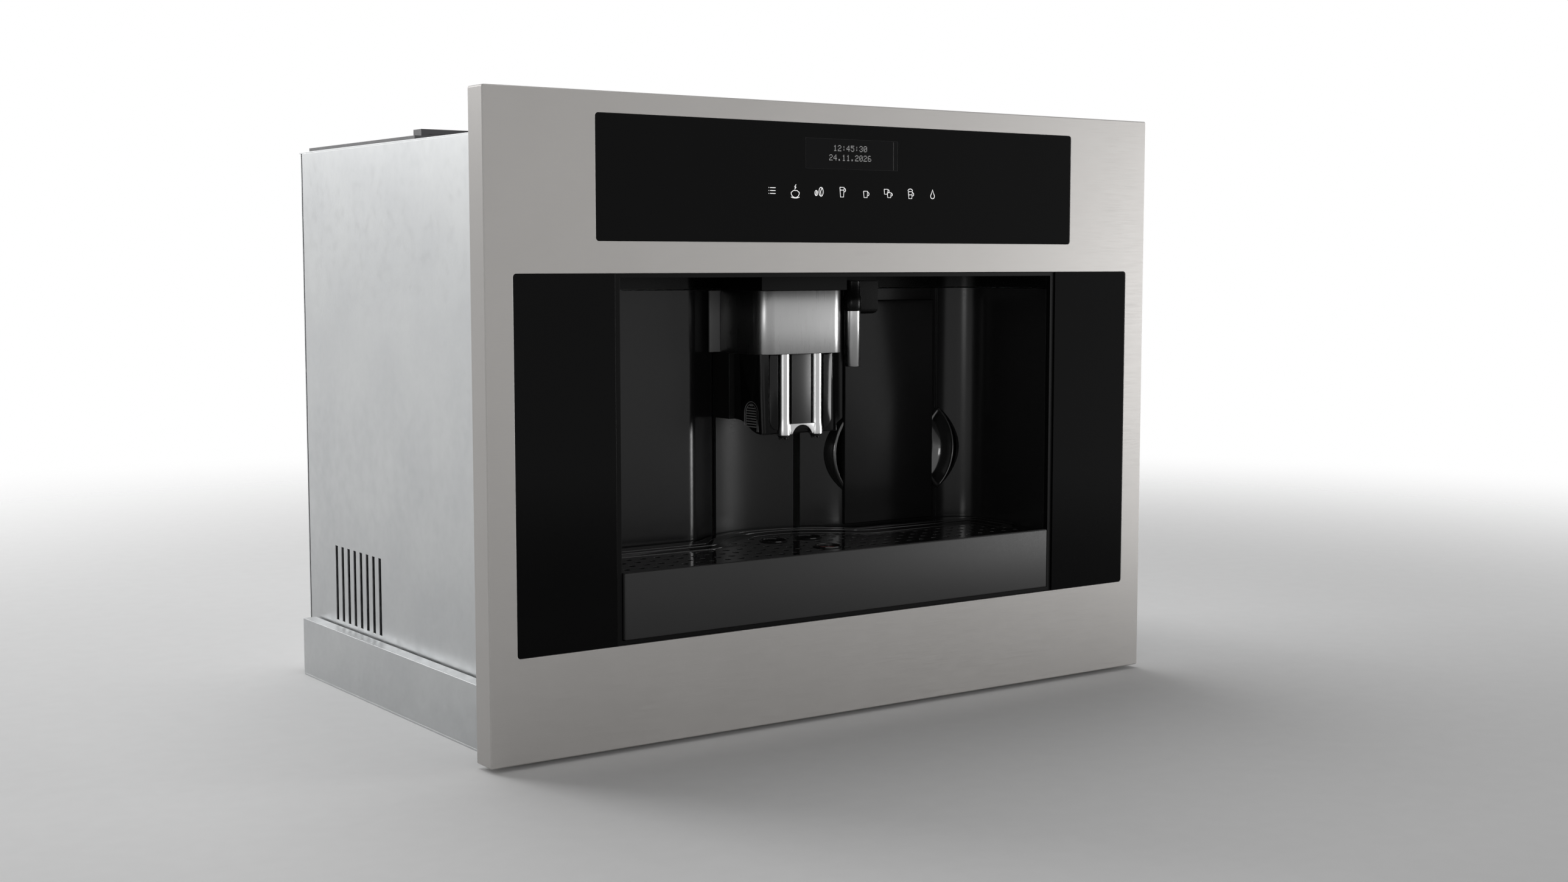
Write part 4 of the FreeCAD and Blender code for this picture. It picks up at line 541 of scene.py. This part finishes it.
left = mirrored(wall_half())
piece("left_wall", left, wall_black, "machine", "gloss_black", "left_niche_wall", crease=40)
SCOOPS = (76, 167.5)
SCOOP_Z, SCOOP_HALF, SCOOP_BULGE = 183, 34, 17.5
BIN_LEFT, BIN_RIGHT, BIN_LOW, BIN_HIGH = 82.7, 144.3, 132, 270
GROOVE_LEFT, GROOVE_RIGHT, GROOVE_LOW, GROOVE_BACK = 158.8, 165.6, 126, 105.8
right = wall_half()
bmesh.ops.recalc_face_normals(right, faces=right.faces)
right = carved(right, *[drawn_back(lens_outline(x, 90, SCOOP_Z, SCOOP_HALF, SCOOP_BULGE), 40)
                        for x in SCOOPS],
               slab(at(BIN_LEFT, 98, BIN_LOW), at(BIN_RIGHT, 112, BIN_HIGH)),
               slab(at(GROOVE_LEFT, 100, GROOVE_LOW),
                    at(GROOVE_RIGHT, GROOVE_BACK, WALL_HIGH + 1)))
piece("right_wall", right, wall_black, "machine", "gloss_black", "right_niche_wall", crease=40)
header = put_in(header_half(), mirrored(header_half()))
header_black = finish("header_black", (0.004, 0.004, 0.004), (0.005, 0.005, 0.005), (0.22, 0.3),
                      shine=0.1, fineness=700.0, relief=0.02)
piece("header_band", header, header_black, "machine", "gloss_black", "niche_header", crease=40)


# ---------------------------------------------------------------- spout column and cap
# The black column stands on the middle strip of the recess. A cap of brushed stainless sheet, bent
# round both front corners, covers its top, and a satin cheek fills each side behind the cap.

cap_steel = finish("cap_steel", (0.27, 0.27, 0.27), (0.3, 0.3, 0.3), (0.27, 0.31), metal=1.0,
                   stretch=(1, 1, 0.04), fineness=1300.0, relief=0.012, wear_and_sheen_colour=(0.9, 0.9, 0.9))
CAP_HALF, CAP_FRONT, CAP_BACK, CAP_LOW, CAP_HIGH, CAP_BEND = 39.5, 60, 116, 266.5, 314.5, 12
CAP_THICK, CHEEK_NEAR, CHEEK_FAR = 1.2, 38, 49
cap, edge = upright_edge(-CAP_HALF, CAP_BACK, CAP_LOW, CAP_HIGH)
edge = run(cap, edge, -CAP_HALF, CAP_FRONT + CAP_BEND)
edge = turn(cap, edge, -CAP_HALF + CAP_BEND, CAP_FRONT + CAP_BEND, math.pi / 2, 14)
edge = run(cap, edge, CAP_HALF - CAP_BEND, CAP_FRONT)
edge = turn(cap, edge, CAP_HALF - CAP_BEND, CAP_FRONT + CAP_BEND, math.pi / 2, 14)
run(cap, edge, CAP_HALF, CAP_BACK)
cap = thickened(cap, CAP_THICK, (-1, 0, 0))
rim = [line for line in cap.edges if abs(line.verts[0].co.z - line.verts[1].co.z) < 1e-6
       and len(line.link_faces) == 2 and line.calc_face_angle() > 1.2]
bmesh.ops.bevel(cap, geom=rim, offset=0.0004, offset_type="OFFSET", affect="EDGES", segments=2,
                profile=0.5, material=-1)
piece("spout_cap", cap, cap_steel, "machine", "brushed_steel_front", "spout_head", crease=50)
cheek_grey = finish("cheek_grey", (0.16, 0.16, 0.16), (0.18, 0.18, 0.18), (0.3, 0.4), shine=0.4,
                    fineness=1500.0, relief=0.05)
cheeks = bmesh.new()
for sign in (-1, 1):
    near, far = sorted((sign * CHEEK_NEAR, sign * CHEEK_FAR))
    put_in(cheeks, slab(at(near, 116.6, 267), at(far, 118.4, 314), 0.3, 2))
piece("column_cheeks", cheeks, cheek_grey, "machine", "grey_moulding")


# ---------------------------------------------------------------- coffee spout
# A black moulding slides in the cap. Its lower edge runs in a wave up to the back, and an arched
# finger grip with rows of raised dashes is moulded on each side. Two steel rods stand at the front.

SPOUT_HALF, SPOUT_FACE, SPOUT_TOP = 35, 66, 281
wave = [(SPOUT_FACE, SPOUT_TOP), (SPOUT_FACE, 207.6), (66.8, 206.3), (70, 206), (75, 206.6),
        (80, 208.2), (84, 210.3), (88, 212.6), (92, 214.4), (96, 215.4), (103.8, 216),
        (103.8, SPOUT_TOP)]
body = bmesh.new()
body.faces.new([body.verts.new(at(-SPOUT_HALF, deep, z)) for deep, z in wave])
new = bmesh.ops.extrude_face_region(body, geom=body.faces[:])["geom"]
bmesh.ops.translate(body, vec=(2 * SPOUT_HALF / 1000, 0, 0),
                    verts=[item for item in new if isinstance(item, bmesh.types.BMVert)])
bmesh.ops.recalc_face_normals(body, faces=body.faces)
corners = [line for line in body.edges
           if all(abs(vert.co.y - at(0, SPOUT_FACE, 0).y) < 1e-6 for vert in line.verts)
           and abs(line.verts[0].co.x - line.verts[1].co.x) < 1e-6]
bmesh.ops.bevel(body, geom=corners, offset=0.009, offset_type="OFFSET", affect="EDGES", segments=10,
                profile=0.5, material=-1)
lower = [line for line in body.edges if len(line.link_faces) == 2
         and max(vert.co.z for vert in line.verts) < 0.2165 and line.calc_face_angle() > 1.0
         and (abs(line.verts[0].co.x - line.verts[1].co.x) < 1e-6 or line.verts[0].co.y < -0.12)]
bmesh.ops.bevel(body, geom=lower, offset=0.0008, offset_type="OFFSET", affect="EDGES", segments=2,
                profile=0.5, material=-1)
PLATE_HALF, PLATE_LOW, PLATE_BEND = 29, 209, 8
plate = slab(at(-PLATE_HALF, 65, PLATE_LOW), at(PLATE_HALF, 67, SPOUT_TOP), PLATE_BEND, 8,
             lambda line: abs(line.verts[0].co.y - line.verts[1].co.y) > 1e-4
             and line.verts[0].co.z < 0.22)
front = [line for line in plate.edges if all(vert.co.y < at(0, 65.1, 0).y for vert in line.verts)]
bmesh.ops.bevel(plate, geom=front, offset=0.0006, offset_type="OFFSET", affect="EDGES", segments=2,
                profile=0.5, material=-1)
ROD_X, ROD_DEEP, ROD_LOW, ROD_BEND, CHANNEL_HALF = 15.1, 66.8, 204.7, 4.6, 6.3


def rod_rooms():
    """The square channel that each rod stands in."""
    return [slab(at(x - CHANNEL_HALF, 60, 200), at(x + CHANNEL_HALF, 69.4, 290))
            for x in (-ROD_X, ROD_X)]


body = put_in(carved(body, *rod_rooms()), carved(plate, *rod_rooms()))
grips = bmesh.new()
GRIP_MID, GRIP_LOW, GRIP_HALF, GRIP_HIGH, GRIP_RIM = 80.5, 210.5, 9.4, 20, 1.9
DASH_ROWS, DASH_STEP = 9, 1.45
for sign in (-1, 1):
    for inset in (0, GRIP_RIM):
        half = GRIP_HALF - inset
        spring = GRIP_LOW + GRIP_HIGH - GRIP_HALF
        arch = [at(sign * SPOUT_HALF, GRIP_MID - half, GRIP_LOW - 2.5)]
        arch += [at(sign * SPOUT_HALF, GRIP_MID - half * math.cos(math.pi * n / 14),
                    spring + half * math.sin(math.pi * n / 14)) for n in range(15)]
        arch += [at(sign * SPOUT_HALF, GRIP_MID + half, GRIP_LOW + 1.5)]
        put_in(grips, stroke(arch, 0.7))
    for row in range(DASH_ROWS):
        z = GRIP_LOW + 0.6 + row * 2
        above = max(0, z - (GRIP_LOW + GRIP_HIGH - GRIP_HALF))
        reach = math.sqrt(max((GRIP_HALF - 3.2) ** 2 - above ** 2, 0))
        for step in range(-4, 5):
            if abs(step * DASH_STEP) <= reach:
                spot = at(sign * SPOUT_HALF, GRIP_MID + step * DASH_STEP - 0.45, z)
                put_in(grips, slab(spot - Vector((0.0004, 0, 0)),
                                   spot + Vector((0.0004, 0.0009, 0.0008))))
piece("spout_moulding", body, gloss_black, "spout", "gloss_black", "spout_body", crease=40)
# The grip's arches and dashes are the same satin black as the moulding; their light grey is a
# painted highlight.
grip_highlight_grey = finish("grip_highlight_grey", (0.2, 0.2, 0.2), (0.24, 0.24, 0.24), (0.25, 0.35))
piece("spout_grips", grips, grip_highlight_grey, "spout", "satin_black", crease=40)

inlay_grey = finish("inlay_grey", (0.018, 0.018, 0.018), (0.021, 0.021, 0.021), (0.3, 0.4),
                    shine=0.4, fineness=1500.0, relief=0.04, wear_and_sheen_colour=(0.3, 0.3, 0.3))
INLAY_HALF, INLAY_LOW, INLAY_FACE = 8.9, 213, 64.2
inlay = slab(at(-INLAY_HALF, INLAY_FACE, INLAY_LOW), at(INLAY_HALF, SPOUT_FACE, SPOUT_TOP), 0.3, 2)
piece("spout_inlay", inlay, inlay_grey, "spout", "satin_black")


def lathe(profile, x, deep, steps=32):
    """A turned form round an upright axis, from pairs of radius and height in millimetres."""
    shape = bmesh.new()
    verts = [shape.verts.new(at(x + radius, deep, z)) for radius, z in profile]
    edges = [shape.edges.new(pair) for pair in zip(verts, verts[1:])]
    bmesh.ops.spin(shape, geom=[*verts, *edges], cent=at(x, deep, 0), axis=(0, 0, 1),
                   angle=2 * math.pi, steps=steps, use_merge=True)
    bmesh.ops.remove_doubles(shape, verts=shape.verts, dist=1e-6)
    bmesh.ops.recalc_face_normals(shape, faces=shape.faces)
    return shape


def cross_bar(x, deep, z, radius, long, steps=48):
    """A round bar that runs straight back."""
    shape = bmesh.new()
    bmesh.ops.create_cone(shape, cap_ends=True, segments=steps, radius1=radius / 1000,
                          radius2=radius / 1000, depth=long / 1000)
    bmesh.ops.rotate(shape, matrix=Matrix.Rotation(math.pi / 2, 3, "X"), verts=shape.verts)
    bmesh.ops.translate(shape, vec=at(x, deep + long / 2, z), verts=shape.verts)
    return shape


bright_steel = finish("bright_steel", (0.4, 0.4, 0.4), (0.44, 0.44, 0.44), (0.22, 0.28), metal=1.0,
                      stretch=(1, 1, 0.04), fineness=1200.0, relief=0.02)
BRIDGE_LOW, BRIDGE_HIGH, ARCH_Z, ARCH_BEND = 205.4, 213.6, 202.9, 9.6
trim = carved(slab(at(-ROD_X, 63.2, BRIDGE_LOW), at(ROD_X, 68.4, BRIDGE_HIGH), 0.5, 2),
              cross_bar(0, 60, ARCH_Z, ARCH_BEND, 12))
for x in (-ROD_X, ROD_X):
    put_in(trim, lathe([(0, ROD_LOW), (4.9, ROD_LOW), (5.35, ROD_LOW + 0.4), (5.4, 207),
                        (5.25, 210), (4.95, 212.6), (4.7, 215), (ROD_BEND, 218),
                        (ROD_BEND, SPOUT_TOP), (0, SPOUT_TOP)], x, ROD_DEEP))
piece("spout_rods", trim, bright_steel, "spout", "polished_steel", "spout_trim", crease=40)

TEETH = 8
tips = bmesh.new()
for x in (-ROD_X, ROD_X):
    put_in(tips, lathe([(0, 204.6), (4.4, 204.6), (4.2, 203.6), (3.2, 202.9), (2, 202.7),
                        (1.4, 203.4), (0, 203.4)], x, ROD_DEEP, 24))
    for n in range(TEETH):
        tooth = slab(at(2.1, 197.5, 201.7), at(3.7, 198.5, 203.4), 0.25, 2)
        bmesh.ops.rotate(tooth, cent=(0, 0, 0), verts=tooth.verts,
                         matrix=Matrix.Rotation(n * 2 * math.pi / TEETH, 3, "Z"))
        bmesh.ops.translate(tooth, vec=at(x, ROD_DEEP, 0), verts=tooth.verts)
        put_in(tips, tooth)
piece("spout_tips", tips, satin_black, "spout", "satin_black", "coffee_nozzles", crease=40)


# ---------------------------------------------------------------- hot water outlet
# A black holder that pulls off to the front: a block with round lower corners, a turned boss at
# its front left, and a polished tube pressed into the boss from below.

TUBE_X, TUBE_DEEP = 52.5, 70
HOLDER_LEFT, HOLDER_RIGHT, HOLDER_LOW, HOLDER_HIGH = 46, 80, 295.5, 321
holder = slab(at(HOLDER_LEFT, 73, HOLDER_LOW), at(HOLDER_RIGHT, 92, HOLDER_HIGH), 4, 4,
              lambda line: line.verts[0].co.z < 0.32 and line.verts[1].co.z < 0.33)
put_in(holder, lathe([(0, 298), (6.6, 298), (7, 298.5), (7, 309), (6.4, 309.8),
                      (6.4, HOLDER_HIGH), (0, HOLDER_HIGH)], TUBE_X, TUBE_DEEP))
piece("outlet_holder", holder, header_black, "hot_water", "gloss_black", "hot_water_outlet",
      crease=40)
tube = lathe([(0, 304), (4, 304), (4, 255.6), (4.3, 255), (5.9, 255), (6.3, 255.5), (6.3, 306),
              (0, 306)], TUBE_X, TUBE_DEEP)
piece("outlet_tube", tube, bright_steel, "hot_water", "polished_steel", "hot_water_tube",
      crease=40)


# ---------------------------------------------------------------- finger scoops
# A gloss black bowl let into the wall on each side of the drawer: a lens-shaped lip that stands a
# little proud, then a deep hollow for the fingertips.

def lens_ring(shape, x, deep, inset, steps=24):
    """A closed ring of edges in the form of the scoop's lens, moved inwards by so much."""
    flank = (SCOOP_HALF ** 2 + SCOOP_BULGE ** 2) / (2 * SCOOP_BULGE)
    off = flank - SCOOP_BULGE
    bend = flank - inset
    swing = math.acos(off / bend)
    verts = []
    for sign in (1, -1):
        for n in range(steps):
            turned = swing - 2 * swing * n / steps
            verts.append(shape.verts.new(at(x + sign * (bend * math.cos(turned) - off), deep,
                                            SCOOP_Z + sign * bend * math.sin(turned))))
    return [shape.edges.new(pair) for pair in zip(verts, verts[1:] + verts[:1])]


lip_black = finish("lip_black", (0.02, 0.02, 0.02), (0.024, 0.024, 0.024), (0.1, 0.16),
                   shine=0.9, fineness=600.0, relief=0.02)
LIP_AND_BOWL = ((0.3, 117), (0.3, 103.4), (1.0, 102.6), (2.2, 102), (2.7, 102.1), (3, 102.6),
                (3.2, 104), (4, 107), (5.4, 110.4), (7.6, 113.4), (10.5, 115.6), (14, 116.6))
for x, name in zip(SCOOPS, ("left", "right")):
    bowl = bmesh.new()
    rings = [lens_ring(bowl, x, deep, inset) for inset, deep in LIP_AND_BOWL]
    for ring, beyond in zip(rings, rings[1:]):
        bmesh.ops.bridge_loops(bowl, edges=ring + beyond)
    bmesh.ops.contextual_create(bowl, geom=rings[-1])
    bmesh.ops.recalc_face_normals(bowl, faces=bowl.faces)
    facing = [face for face in bowl.faces if len(face.verts) > 4][0]
    if facing.normal.y > 0:
        bmesh.ops.reverse_faces(bowl, faces=bowl.faces)
    piece(name + "_scoop", bowl, lip_black, "machine", "gloss_black", name + "_finger_scoop",
          turned=False, crease=50)


# ---------------------------------------------------------------- grounds drawer
# The drawer's front is a flat gloss black panel with softened edges, a little proud of the wall.
# Its top left corner is notched, to pass under the hot water outlet.

PANEL_LEFT, PANEL_RIGHT, PANEL_LOW, PANEL_HIGH = 68.5, 158.5, 126.4, 305.5
PANEL_FACE, PANEL_BACK = 100, 103.7
NOTCH_RIGHT, NOTCH_LOW = 81, 294.5
panel = slab(at(PANEL_LEFT, PANEL_FACE, PANEL_LOW), at(PANEL_RIGHT, PANEL_BACK, PANEL_HIGH), 1, 3)
panel = carved(panel, slab(at(60, 95, NOTCH_LOW), at(NOTCH_RIGHT, 110, 310)))
piece("drawer_panel", panel, wall_black, "grounds_drawer", "gloss_black", "grounds_front")


# ---------------------------------------------------------------- drip tray
# A satin dark grey front with a bevelled rim, a black basin, and a gloss black grille laid in it:
# a holed sheet with a raised band along the walls, its slope edged with thin beads. It is notched
# for the drawer and the left scoop, and a dark red float lies under its front large hole.

dark_grey = finish("dark_grey", (0.031, 0.031, 0.031), (0.036, 0.036, 0.036), (0.42, 0.52),
                   shine=0.2, fineness=1800.0, relief=0.06, wear_and_sheen_colour=(0.16, 0.16, 0.16))
TRAY_HALF, TRAY_LOW, TRAY_HIGH = 194.5, 77.7, 123.9
front = slab(at(-TRAY_HALF, 0, TRAY_LOW), at(TRAY_HALF, 4, TRAY_HIGH), 0.9, 3)
piece("tray_panel", front, dark_grey, "drip_tray", "dark_grey", "tray_front")
GRILLE_GAP, SHEET_LOW, SHEET_TOP, BAND_TOP = 4.5, 121, 123, 124.8


def raised(shape, high):
    """A flat level face drawn up by a height."""
    new = bmesh.ops.extrude_face_region(shape, geom=shape.faces[:])["geom"]
    bmesh.ops.translate(shape, vec=(0, 0, high / 1000),
                        verts=[item for item in new if isinstance(item, bmesh.types.BMVert)])
    bmesh.ops.recalc_face_normals(shape, faces=shape.faces)
    return shape


def grille_plan():
    """The grille's outline as a flat face at the height of its underside."""
    half = niche_run(GRILLE_GAP, 4.2, SHEET_LOW, SHEET_LOW + 1, 0)
    put_in(half, mirrored(niche_run(GRILLE_GAP, 4.2, SHEET_LOW, SHEET_LOW + 1, 0)))
    high = [vert for vert in half.verts if vert.co.z > (SHEET_LOW + 0.5) / 1000]
    bmesh.ops.delete(half, geom=high, context="VERTS")
    bmesh.ops.remove_doubles(half, verts=half.verts, dist=2e-6)
    bmesh.ops.contextual_create(half, geom=half.edges[:])
    return half


RIM_SIDE, RIM_START, RIM_LINE, RIM_RING, RIM_BLEND, SLOPE = 178, 38, 69, 73, 26, 5.5
BLEND_STEPS, RING_STEPS = 12, 16


def low_line(out, deep_start):
    """Points in plan along the band's edge, moved towards the wall by so much, left to right."""
    blend_deep = RIM_LINE + RIM_BLEND
    blend_x = math.sqrt((RIM_RING + RIM_BLEND) ** 2 - (blend_deep - RECESS_DEEP) ** 2)
    lean = math.atan2(blend_x, blend_deep - RECESS_DEEP)
    right = [(RIM_SIDE + out, deep_start), (RIM_SIDE + out, RIM_LINE + out)]
    for n in range(BLEND_STEPS + 1):
        turned = lean * n / BLEND_STEPS
        right.append((blend_x - (RIM_BLEND - out) * math.sin(turned),
                      blend_deep - (RIM_BLEND - out) * math.cos(turned)))
    for n in range(1, RING_STEPS + 1):
        turned = lean * (1 - n / RING_STEPS)
        right.append(((RIM_RING + out) * math.sin(turned),
                      RECESS_DEEP + (RIM_RING + out) * math.cos(turned)))
    return [(-x, deep) for x, deep in right[:-1]] + right[::-1]


plate = raised(grille_plan(), BAND_TOP - SHEET_LOW)
NOTCH_GAP, CUT_BACK, CUT_LOW, CUT_HIGH = 3, 125, 118, 130
under_drawer = slab(at(PANEL_LEFT - NOTCH_GAP, PANEL_FACE - NOTCH_GAP, CUT_LOW),
                    at(PANEL_RIGHT + NOTCH_GAP, CUT_BACK, CUT_HIGH))
under_scoop = slab(at(SCOOPS[0] - SCOOP_BULGE - NOTCH_GAP, 100.2, CUT_LOW),
                   at(SCOOPS[0] + SCOOP_BULGE - NOTCH_GAP, CUT_BACK, CUT_HIGH))
low_room = bmesh.new()
levels = []
for out, z in ((0, SHEET_TOP), (SLOPE, BAND_TOP), (SLOPE, BAND_TOP + 3)):
    verts = [low_room.verts.new(at(x, deep, z)) for x, deep in low_line(out, -5)]
    levels.append([low_room.edges.new(pair) for pair in zip(verts, verts[1:] + verts[:1])])
for ring, beyond in zip(levels, levels[1:]):
    bmesh.ops.bridge_loops(low_room, edges=ring + beyond)
bmesh.ops.contextual_create(low_room, geom=levels[0])
bmesh.ops.contextual_create(low_room, geom=levels[-1])
bmesh.ops.recalc_face_normals(low_room, faces=low_room.faces)
plate = carved(plate, under_drawer, under_scoop,
               slab(at(-200, -5, SHEET_TOP), at(200, RIM_START, CUT_HIGH)), low_room)
BEAD_START, BEAD_WIDE = 15, 0.5
beads = bmesh.new()
for out, z in ((0.2, SHEET_TOP), (SLOPE, BAND_TOP), (SLOPE + 9.5, BAND_TOP)):
    line = low_line(out, RIM_START)
    for points in (line[:BEAD_START], line[BEAD_START:]):
        put_in(beads, stroke([at(x, deep, z) for x, deep in points], BEAD_WIDE))
BIG_HOLES, BIG_RADIUS = ((0, 31), (-16.3, 78.5), (16.3, 78.5)), 9.8
HOLE_RADIUS, HOLE_FIRST, HOLE_SHIFT, PITCH_X, PITCH_Y = 2.6, 19.1, -2, 12, 12.6
HOLE_ROWS, HOLE_COLUMNS = 7, 16


def hole_bar(x, deep, radius, steps):
    """An upright round bar through the sheet, to cut a hole with."""
    bar = bmesh.new()
    bmesh.ops.create_cone(bar, cap_ends=True, segments=steps, radius1=radius / 1000,
                          radius2=radius / 1000, depth=0.008)
    bmesh.ops.translate(bar, vec=at(x, deep, SHEET_TOP), verts=bar.verts)
    return bar


drills = bmesh.new()
for row in range(HOLE_ROWS):
    deep = HOLE_FIRST + PITCH_Y * row
    for column in range(-HOLE_COLUMNS, HOLE_COLUMNS + 1):
        x = HOLE_SHIFT + PITCH_X * column
        low = (deep < RIM_START - 3.5 and abs(x) < NICHE_HALF - GRILLE_GAP - 3
               or deep < RIM_LINE - 3 and abs(x) < RIM_SIDE - 3.5
               or math.hypot(x, deep - RECESS_DEEP) < RIM_RING - 3.5)
        if low and all(math.hypot(x - bx, deep - bd) > 13.5 for bx, bd in BIG_HOLES):
            put_in(drills, hole_bar(x, deep, HOLE_RADIUS, 16))
for x, deep in BIG_HOLES:
    put_in(drills, hole_bar(x, deep, BIG_RADIUS, 48))
plate = carved(plate, drills)
for x, deep in BIG_HOLES:
    put_in(plate, lathe([(9.7, SHEET_TOP - 0.5), (9.7, SHEET_TOP + 0.5), (10.1, SHEET_TOP + 0.9),
                         (10.7, SHEET_TOP + 0.9), (11.4, SHEET_TOP + 0.1),
                         (11.4, SHEET_TOP - 0.5), (9.7, SHEET_TOP - 0.5)], x, deep, 48))
grille_black = finish("grille_black", (0.009, 0.009, 0.009), (0.012, 0.012, 0.012), (0.06, 0.1),
                      shine=0.5, fineness=400.0, relief=0.01, wear_and_sheen_colour=(0.05, 0.05, 0.05))
piece("grille_plate", plate, grille_black, "grille", "gloss_black", "drip_grille", crease=30)
# The beads are the same gloss black as the grille; their lighter black is a painted highlight along
# them.
bead_highlight_black = finish("bead_highlight_black", (0.03, 0.03, 0.03), (0.04, 0.04, 0.04), (0.1, 0.2), shine=1.0)
piece("grille_beads", beads, bead_highlight_black, "grille", "gloss_black")
red_plastic = finish("red_float", (0.06, 0.004, 0.003), (0.08, 0.005, 0.004), (0.3, 0.4))
dress(red_plastic, "level_float")


# ---------------------------------------------------------------- case and works
# The case is folded from zinc-coated sheet and held with screws; the runners are rolled steel.
# Behind the niche sit the moulded tank, hopper and brew parts, and the cast boiler and motor.

zinc_steel = finish("zinc_steel", (0.42, 0.43, 0.44), (0.52, 0.53, 0.53), (0.32, 0.5), metal=0.9,
                    fineness=90.0, relief=0.06, wear_and_sheen_colour=(0.7, 0.7, 0.7))
dress(zinc_steel, "base_pan", "left_side_panel", "right_side_panel", "rear_panel", "top_cover",
      "inner_frame", "runner_plate", "left_cabinet_rail", "left_middle_rail", "left_inner_rail",
      "right_cabinet_rail", "right_middle_rail", "right_inner_rail", "cover_screws")
grey_plastic = finish("grey_moulding", (0.12, 0.12, 0.125), (0.15, 0.15, 0.155), (0.4, 0.55))
dress(grey_plastic, "grind_knob", "measuring_scoop", "main_switch", "mains_inlet", "brew_unit",
      "grinder_housing", "display_module", "niche_lamps", "tank_lid")
smoked = finish("smoked_plastic", (0.03, 0.03, 0.032), (0.04, 0.04, 0.042), (0.12, 0.2))
dress(smoked, "bean_hopper", "hopper_lid", "powder_funnel", "funnel_flap")
tank_plastic = finish("tank_plastic", (0.3, 0.36, 0.42), (0.36, 0.42, 0.48), (0.14, 0.24),
                      fineness=700.0, relief=0.03, wear_and_sheen_colour=(0.6, 0.66, 0.7))
dress(tank_plastic, "water_tank")
cast_alloy = finish("cast_alloy", (0.3, 0.3, 0.3), (0.4, 0.4, 0.39), (0.45, 0.65), metal=0.8,
                    fineness=700.0, relief=0.3, wear_and_sheen_colour=(0.6, 0.6, 0.6))
dress(cast_alloy, "boiler", "water_pump", "grinder_motor", "grinder_burr")
hose_rubber = finish("hose_rubber", (0.5, 0.5, 0.48), (0.58, 0.58, 0.55), (0.35, 0.5))
dress(hose_rubber, "water_hoses")
board_green = finish("board_green", (0.01, 0.07, 0.03), (0.015, 0.1, 0.04), (0.3, 0.5),
                     fineness=500.0, wear_and_sheen_colour=(0.5, 0.4, 0.15))
dress(board_green, "control_board")
